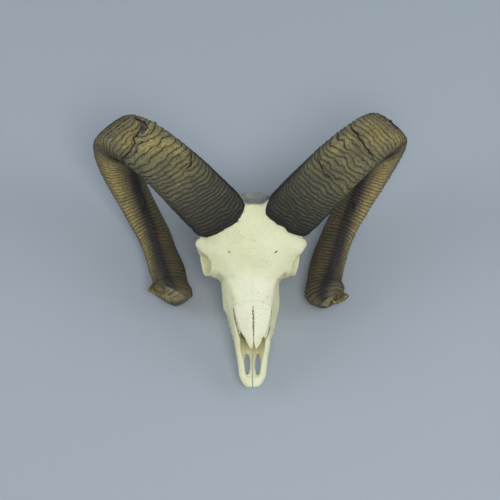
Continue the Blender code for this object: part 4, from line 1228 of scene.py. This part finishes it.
def bone_finish():
    """Dry bone: cream and slightly green, whiter where it is rubbed, pitted with pores; its hollows get painted
    yellow shade.
    """
    bone = Finish("dry_bone")
    hollow, edge = bone.read("hollow"), bone.read("edge")
    broad = bone.noise(22, 3)
    mottle = bone.noise(90, 5)
    grain = bone.noise(420, 4, 0.6)
    colour = bone.mix(bone.span(broad, 0.35, 0.7), (0.70, 0.70, 0.445), (0.765, 0.775, 0.53))
    colour = bone.mix(bone.span(mottle, 0.5, 0.75, 0, 0.35), colour, (0.66, 0.61, 0.37))
    colour = bone.mix(bone.span(bone.read("pale"), 0, 1, 0, 0.8), colour, (0.81, 0.82, 0.63))
    # Painted shade and bounced light: the more shut in a point is, the darker and yellower it is painted.
    colour = bone.mix(bone.span(hollow, 0.22, 0.75, 0, 0.85), colour, (0.62, 0.585, 0.27))
    colour = bone.mix(bone.span(edge, 0.1, 0.8, 0, 0.5), colour, (0.86, 0.85, 0.70))
    colour = bone.mix(bone.span(edge, -0.1, -0.8, 0, 0.45), colour, (0.50, 0.43, 0.20))
    pores = bone.times(bone.pits(330, 0.30), bone.span(bone.noise(38, 2), 0.46, 0.62))
    fine_pores = bone.times(bone.pits(900, 0.32), bone.span(bone.noise(60, 2), 0.42, 0.6))
    colour = bone.mix(bone.times(pores, 0.6), colour, (0.36, 0.28, 0.12))
    colour = bone.mix(bone.times(fine_pores, 0.45), colour, (0.40, 0.33, 0.16))
    colour = bone.mix(bone.span(grain, 0.52, 0.30, 0, 0.22), colour, (0.52, 0.49, 0.28))
    stain = bone.times(bone.read("stain"), bone.span(bone.noise(420, 5, 0.7), 0.50, 0.62))
    colour = bone.mix(stain, colour, (0.40, 0.24, 0.09))
    crevice = bone.times(bone.read("crevice"), bone.span(bone.noise(340, 5, 0.75), 0.40, 0.56, 0.12, 1.0))
    colour = bone.mix(bone.span(crevice, 0.12, 0.6), colour, (0.19, 0.155, 0.06))
    # Painted shade: the back of the skull behind the poll is painted a blotchy dark blue-grey, as it looks in shadow.
    nape_shade = bone.times(bone.read("nape_shade"), bone.span(bone.noise(120, 5, 0.65), 0.25, 0.6, 0.55, 1.0))
    colour = bone.mix(nape_shade, colour, (0.225, 0.245, 0.265))
    bone.skin(colour, bone.math("ADD", bone.span(grain, 0.3, 0.7, 0.46, 0.62), bone.times(hollow, 0.15)), 0.42)
    bone.feed(bone.surface.inputs["Subsurface Weight"], 0.06)
    bone.feed(bone.surface.inputs["Subsurface Radius"], (1.0, 0.8, 0.5))
    bone.feed(bone.surface.inputs["Subsurface Scale"], 0.002)
    pitted = bone.math("ADD", bone.times(pores, -1.0), bone.times(fine_pores, -0.35))
    bone.bump((mottle, 0.00035), (grain, 0.00012), (pitted, 0.0004))
    return bone.material


def enamel_finish():
    """Grinding teeth: ivory enamel, brown where dirt has kept in the folds."""
    tooth = Finish("worn_enamel")
    streak = tooth.noise(160, 4, stretch=(1, 1, 0.15))
    colour = tooth.mix(tooth.span(streak, 0.35, 0.7), (0.62, 0.53, 0.32), (0.36, 0.27, 0.13))
    colour = tooth.mix(tooth.span(tooth.noise(500, 3), 0.55, 0.75, 0, 0.5), colour, (0.20, 0.14, 0.07))
    tooth.skin(colour, tooth.span(streak, 0.3, 0.7, 0.28, 0.45), 0.5)
    tooth.bump((streak, 0.0004))
    return tooth.material


def horn_finish():
    """Weathered horn: near black at the root, olive and straw farther out, with painted light and shade on ridges and
    sides.
    """
    horn = Finish("ridged_horn")
    reach, ridge, wave = horn.read("reach"), horn.read("ridge"), horn.read("wave")
    front, outer, valley = horn.read("front"), horn.read("outer"), horn.read("valley")
    facet, rim, strength = horn.read("facet"), horn.read("rim"), horn.read("strength")
    uv = horn.node("ShaderNodeUVMap", uv_map="UVMap").outputs[0]
    patch = horn.noise(24, 4, 0.6)
    blotch = horn.noise(70, 5, 0.6)
    grit = horn.noise(520, 4, 0.65)
    streak = horn.noise(12, 6, 0.65, where=uv, stretch=(30, 1.6, 1))
    fibre = horn.noise(10, 5, 0.6, where=uv, stretch=(1.5, 30, 1))
    ramp = horn.node("ShaderNodeValToRGB")
    stops = (
        (0.0, (0.020, 0.020, 0.016)), (0.05, (0.032, 0.032, 0.024)), (0.12, (0.074, 0.072, 0.047)),
        (0.22, (0.135, 0.126, 0.066)), (0.38, (0.180, 0.160, 0.085)), (0.50, (0.136, 0.106, 0.056)),
        (0.70, (0.115, 0.092, 0.050)), (0.88, (0.098, 0.080, 0.046)), (1.0, (0.14, 0.122, 0.063)),
    )
    for element, (position, tone) in zip(ramp.color_ramp.elements, (stops[0], stops[-1])):
        element.position, element.color = position, (*tone, 1)
    for position, tone in stops[1:-1]:
        ramp.color_ramp.elements.new(position).color = (*tone, 1)
    horn.feed(ramp.inputs[0], reach)
    colour = ramp.outputs[0]
    first_leg = horn.span(reach, 0.46, 0.38)
    straw = horn.times(horn.span(patch, 0.45, 0.66), horn.span(reach, 0.09, 0.2))
    straw = horn.times(straw, horn.times(first_leg, horn.span(front, 0.2, 0.9)))
    straw = horn.math("ADD", horn.times(straw, 0.3), horn.times(horn.read("straw"), 0.75))
    colour = horn.mix(horn.math("MINIMUM", straw, 0.85), colour, (0.31, 0.255, 0.085))
    # Painted light: the outer strip of the second leg is painted a lighter golden olive, where light falls on it.
    lit_strip = horn.times(outer, horn.math("SUBTRACT", 1.0, first_leg))
    colour = horn.mix(horn.times(lit_strip, 0.9), colour, (0.42, 0.335, 0.125))
    colour = horn.mix(horn.span(blotch, 0.5, 0.75, 0, 0.5), colour, (0.055, 0.058, 0.050))

    # Painted highlights pale the crests, and painted shade lies in thin dark lines between them. Wear breaks both up.
    shown = horn.math("MAXIMUM", first_leg, horn.span(outer, 0.0, 0.6, 0.2, 0.6))
    worn_off = horn.times(horn.span(streak, 0.28, 0.72, 0.1, 1), shown)
    crest_highlight = horn.times(horn.span(ridge, 0.1, 0.95), worn_off)
    light = horn.tinted(colour, (2.3, 2.25, 2.1))
    light = horn.mix(0.22, light, (0.34, 0.32, 0.21))
    colour = horn.mix(horn.times(crest_highlight, 0.72), colour, light)
    shifted = horn.math("ADD", wave, horn.times(horn.math("SUBTRACT", horn.noise(300, 3), 0.5), 0.30))
    line = horn.math("PINGPONG", shifted, 0.5)
    thin = horn.math("PINGPONG", horn.times(shifted, 3.0), 0.5)
    depth = horn.times(horn.span(strength, -0.9, 0.5, 0.35, 1.0), horn.span(streak, 0.75, 0.4, 0.35, 1))
    # Painted shade in the finer grooves between the ridges.
    fine = horn.times(horn.span(thin, 0.22, 0.04, 0, 0.5), shown)
    colour = horn.mix(fine, colour, (0.030, 0.028, 0.021))
    breadth = horn.times(line, horn.span(horn.noise(150, 3), 0.3, 0.7, 1.7, 0.6))
    dark = horn.times(horn.times(horn.span(breadth, 0.15, 0.03), depth), shown)
    black = horn.mix(horn.span(strength, 0.1, 0.6), (0.024, 0.022, 0.017), (0.009, 0.0085, 0.008))
    colour = horn.mix(dark, colour, black)
    flecks = horn.noise(26, 3, 0.6, where=uv, stretch=(11, 6, 1))
    colour = horn.mix(horn.span(flecks, 0.50, 0.34, 0, 0.55), colour, (0.024, 0.022, 0.018))
    colour = horn.mix(horn.span(flecks, 0.54, 0.72, 0, 0.6), colour, horn.tinted(colour, (2.4, 2.3, 2.1)))
    colour = horn.mix(horn.times(horn.span(streak, 0.45, 0.28), 0.5), colour, (0.02, 0.018, 0.014))

    mottled = horn.math("ADD", horn.times(horn.noise(230, 5, 0.7), 0.6), horn.times(grit, 0.4))
    colour = horn.mix(horn.span(mottled, 0.5, 0.38, 0, 0.5), colour, (0.026, 0.024, 0.019))
    colour = horn.mix(horn.span(mottled, 0.52, 0.66, 0, 0.5), colour, horn.tinted(colour, (2.2, 2.1, 1.9)))

    # Painted shade: the edges of the first leg and the hollow side of the second are painted blue-black, as in
    # shadow.
    sides = horn.times(horn.span(front, 0.24, 0.05), first_leg)
    sides = horn.times(sides, horn.span(reach, 0.12, 0.28, 0.72, 0.25))
    colour = horn.mix(sides, colour, (0.018, 0.018, 0.024))
    colour = horn.mix(horn.times(horn.span(valley, 0.0, 0.95), 0.9), colour, (0.019, 0.016, 0.018))
    facet = horn.times(horn.span(facet, 0.25, 0.6), horn.span(horn.read("layers"), -0.9, 0.1, 0.25, 1.0))
    colour = horn.mix(horn.times(facet, 0.9), colour, (0.235, 0.21, 0.105))
    colour = horn.mix(horn.times(rim, 0.8), colour, (0.012, 0.012, 0.011))
    inside = horn.mix(horn.span(mottled, 0.42, 0.58), (0.024, 0.020, 0.018), (0.105, 0.082, 0.066))
    colour = horn.mix(horn.span(horn.read("flake"), 0.35, 0.6), colour, inside)
    beside = horn.math("ABSOLUTE", horn.read("crack_side"))
    beside = horn.math("ADD", beside, horn.times(horn.math("SUBTRACT", grit, 0.5), 0.9))
    beside = horn.math("DIVIDE", beside, horn.read("crack_width"))
    gap = horn.times(horn.span(beside, 1.35, 0.85), horn.span(horn.read("crack"), 3.0, 2.2))
    colour = horn.mix(gap, colour, (0.003, 0.0026, 0.0024))
    horn.skin(colour, horn.span(streak, 0.3, 0.7, 0.48, 0.70), 0.38)
    horn.bump(
        (horn.span(line, 0.0, 0.16), 0.0008), (horn.span(thin, 0.0, 0.3), 0.0002), (streak, 0.0006), (fibre, 0.00018),
        (blotch, 0.0003), (grit, 0.00012),
    )
    return horn.material


# ---------------------------------------------------------------- pieces


def curvature(mesh, places, facing):
    """How far each point stands out from its neighbours, from -1 in a groove to 1 on an edge."""
    ends = np.empty(2 * len(mesh.edges), np.int32)
    mesh.edges.foreach_get("vertices", ends)
    ends = ends.reshape(-1, 2)
    value = places.copy()
    for _ in range(3):
        total, count = np.zeros_like(value), np.zeros(len(value))
        for a, b in ((0, 1), (1, 0)):
            np.add.at(total, ends[:, a], value[ends[:, b]])
            np.add.at(count, ends[:, a], 1)
        value = total / np.maximum(count, 1)[:, None]
    return np.clip(((places - value) * facing).sum(1) / 0.9, -1, 1)


def near_points(places, points, size):
    """1 close to any of the given points, fading to 0 a size away."""
    return np.max([bell(np.linalg.norm(places - point, axis=1), size) for point in points], axis=0)


def place_piece(name, mesh, finishes):
    """Puts a mesh into the scene in place of the CAD node of the same name."""
    set_places(mesh, metre(places_of(mesh)))
    mesh.materials.clear()
    for finish in finishes:
        mesh.materials.append(finish)
    piece = add_object(f"{name}_shown", mesh)
    mesh.shade_smooth()
    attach(piece, BODY)
    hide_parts(name)


def crevices(places):
    """1 in the slit between the nasal bones and in the crevices beside them, where dirt has kept in."""
    back = places[:, 1]
    over = np.abs(places[:, 0] - along(NASAL_SHIFT, back))
    lines = np.maximum(bell(over - along(NASAL_HALF, back) - 1.7, 1.2), 0.8 * bell(over, 1.5))
    ends = fade(back, 56, 62) * (1 - fade(back, 90, 102))
    return lines * ends * fade(places[:, 2] - along(ROOF_HEIGHT, back), -22, -16)


def add_bone(name, mesh, finishes):
    if name.startswith("maxilla"):
        shape = opened(mesh)
        count = len(shape.faces)
        shape.from_mesh(teeth(SIDES[name.removeprefix("maxilla_")]))
        shape.faces.ensure_lookup_table()
        for face in shape.faces[count:]:
            face.material_index = 1
        closed(shape, mesh)
    flattened_below(mesh)
    mesh.update()
    places, facing = places_of(mesh), normals_of(mesh)
    across, back, height = np.abs(places[:, 0]), places[:, 1], places[:, 2]
    for kept, values in {
        "hollow": recess_shade_survey.at(places), "edge": edge_survey.at(places, 2), "crevice": crevices(places),
        "pale": fade(back, 158, 110) * fade(height, 48, 78) * fade(across, 36, 16),
        "stain": near_points(places, STAINS, STAIN_SIZE), "nape_shade": fade(back, 222, 240) * fade(height, 40, 90),
    }.items():
        store(mesh, kept, values)
    place_piece(name, mesh, finishes)
    mesh.set_sharp_from_angle(angle=SHARP_EDGE)


# ---------------------------------------------------------------- studio


def add_floor():
    shape = bmesh.new()
    bmesh.ops.create_grid(shape, x_segments=8, y_segments=8, size=12)
    mesh = closed(shape, bpy.data.meshes.new("floor"))
    floor = add_object("studio_floor", mesh)
    paint = Finish("floor_paint")
    paint.skin((*FLOOR_TONE, 1), 0.9, 0.1)
    mesh.materials.append(paint.material)


def add_light(name, place, aim, size, power, tone):
    lamp = bpy.data.lights.new(name, "AREA")
    lamp.shape, lamp.size, lamp.energy, lamp.color = "DISK", size, power, tone
    thing = add_object(name, lamp)
    thing.location = place
    thing.rotation_euler = (Vector(aim) - Vector(place)).to_track_quat("-Z", "Y").to_euler()


def add_studio():
    add_light("key", (0.30, -1.05, 1.95), (0, -0.05, 0.1), 1.2, 22, (1.0, 0.99, 0.96))
    add_light("left_fill", (-2.6, 0.3, 1.5), (0, 0, 0.1), 2.0, 28, (0.95, 0.97, 1.0))
    add_light("right_fill", (2.6, 0.2, 1.7), (0, 0, 0.1), 2.0, 27, (0.96, 0.98, 1.0))
    add_light("back_fill", (0.2, 2.8, 1.9), (0, 0, 0.1), 2.0, 9, (0.90, 0.94, 1.0))
    world = bpy.data.worlds.new("studio")
    bpy.context.scene.world = world
    world.use_nodes = True
    background = world.node_tree.nodes["Background"]
    background.inputs["Color"].default_value = (0.62, 0.66, 0.70, 1)
    background.inputs["Strength"].default_value = 0.5
    bpy.context.scene.view_settings.view_transform = "Standard"


def add_camera():
    lens = bpy.data.cameras.new("camera")
    lens.sensor_width, lens.lens = 36, CAMERA_LENS
    camera = add_object("camera", lens)
    away = Vector((0, -math.sin(FACE_TILT), math.cos(FACE_TILT)))
    camera.location = Vector(CAMERA_TARGET) + away * CAMERA_DISTANCE
    camera.rotation_euler = (-away).to_track_quat("-Z", "Y").to_euler()
    bpy.context.scene.camera = camera


add_camera()
add_studio()
add_floor()

bone, enamel, sheath = bone_finish(), enamel_finish(), horn_finish()
whole = opened_skull()
rough_skull = remeshed(whole, VOXEL_ROUGH)
relax(rough_skull, 3)
# How shut in the bone is at each point, which the bone's finish reads to paint shade into the hollows.
recess_shade_survey = Survey(rough_skull, shut_in(rough_skull))
edge_survey = Survey(whole, curvature(whole, places_of(whole), normals_of(whole)))
for bone_name, bone_mesh in skull_bones().items():
    add_bone(bone_name, bone_mesh, (bone, enamel) if bone_name.startswith("maxilla") else (bone,))
for horn_side in SIDES:
    place_piece(f"horn_{horn_side}", flattened_below(horn_mesh(horn_side)), (sheath,))
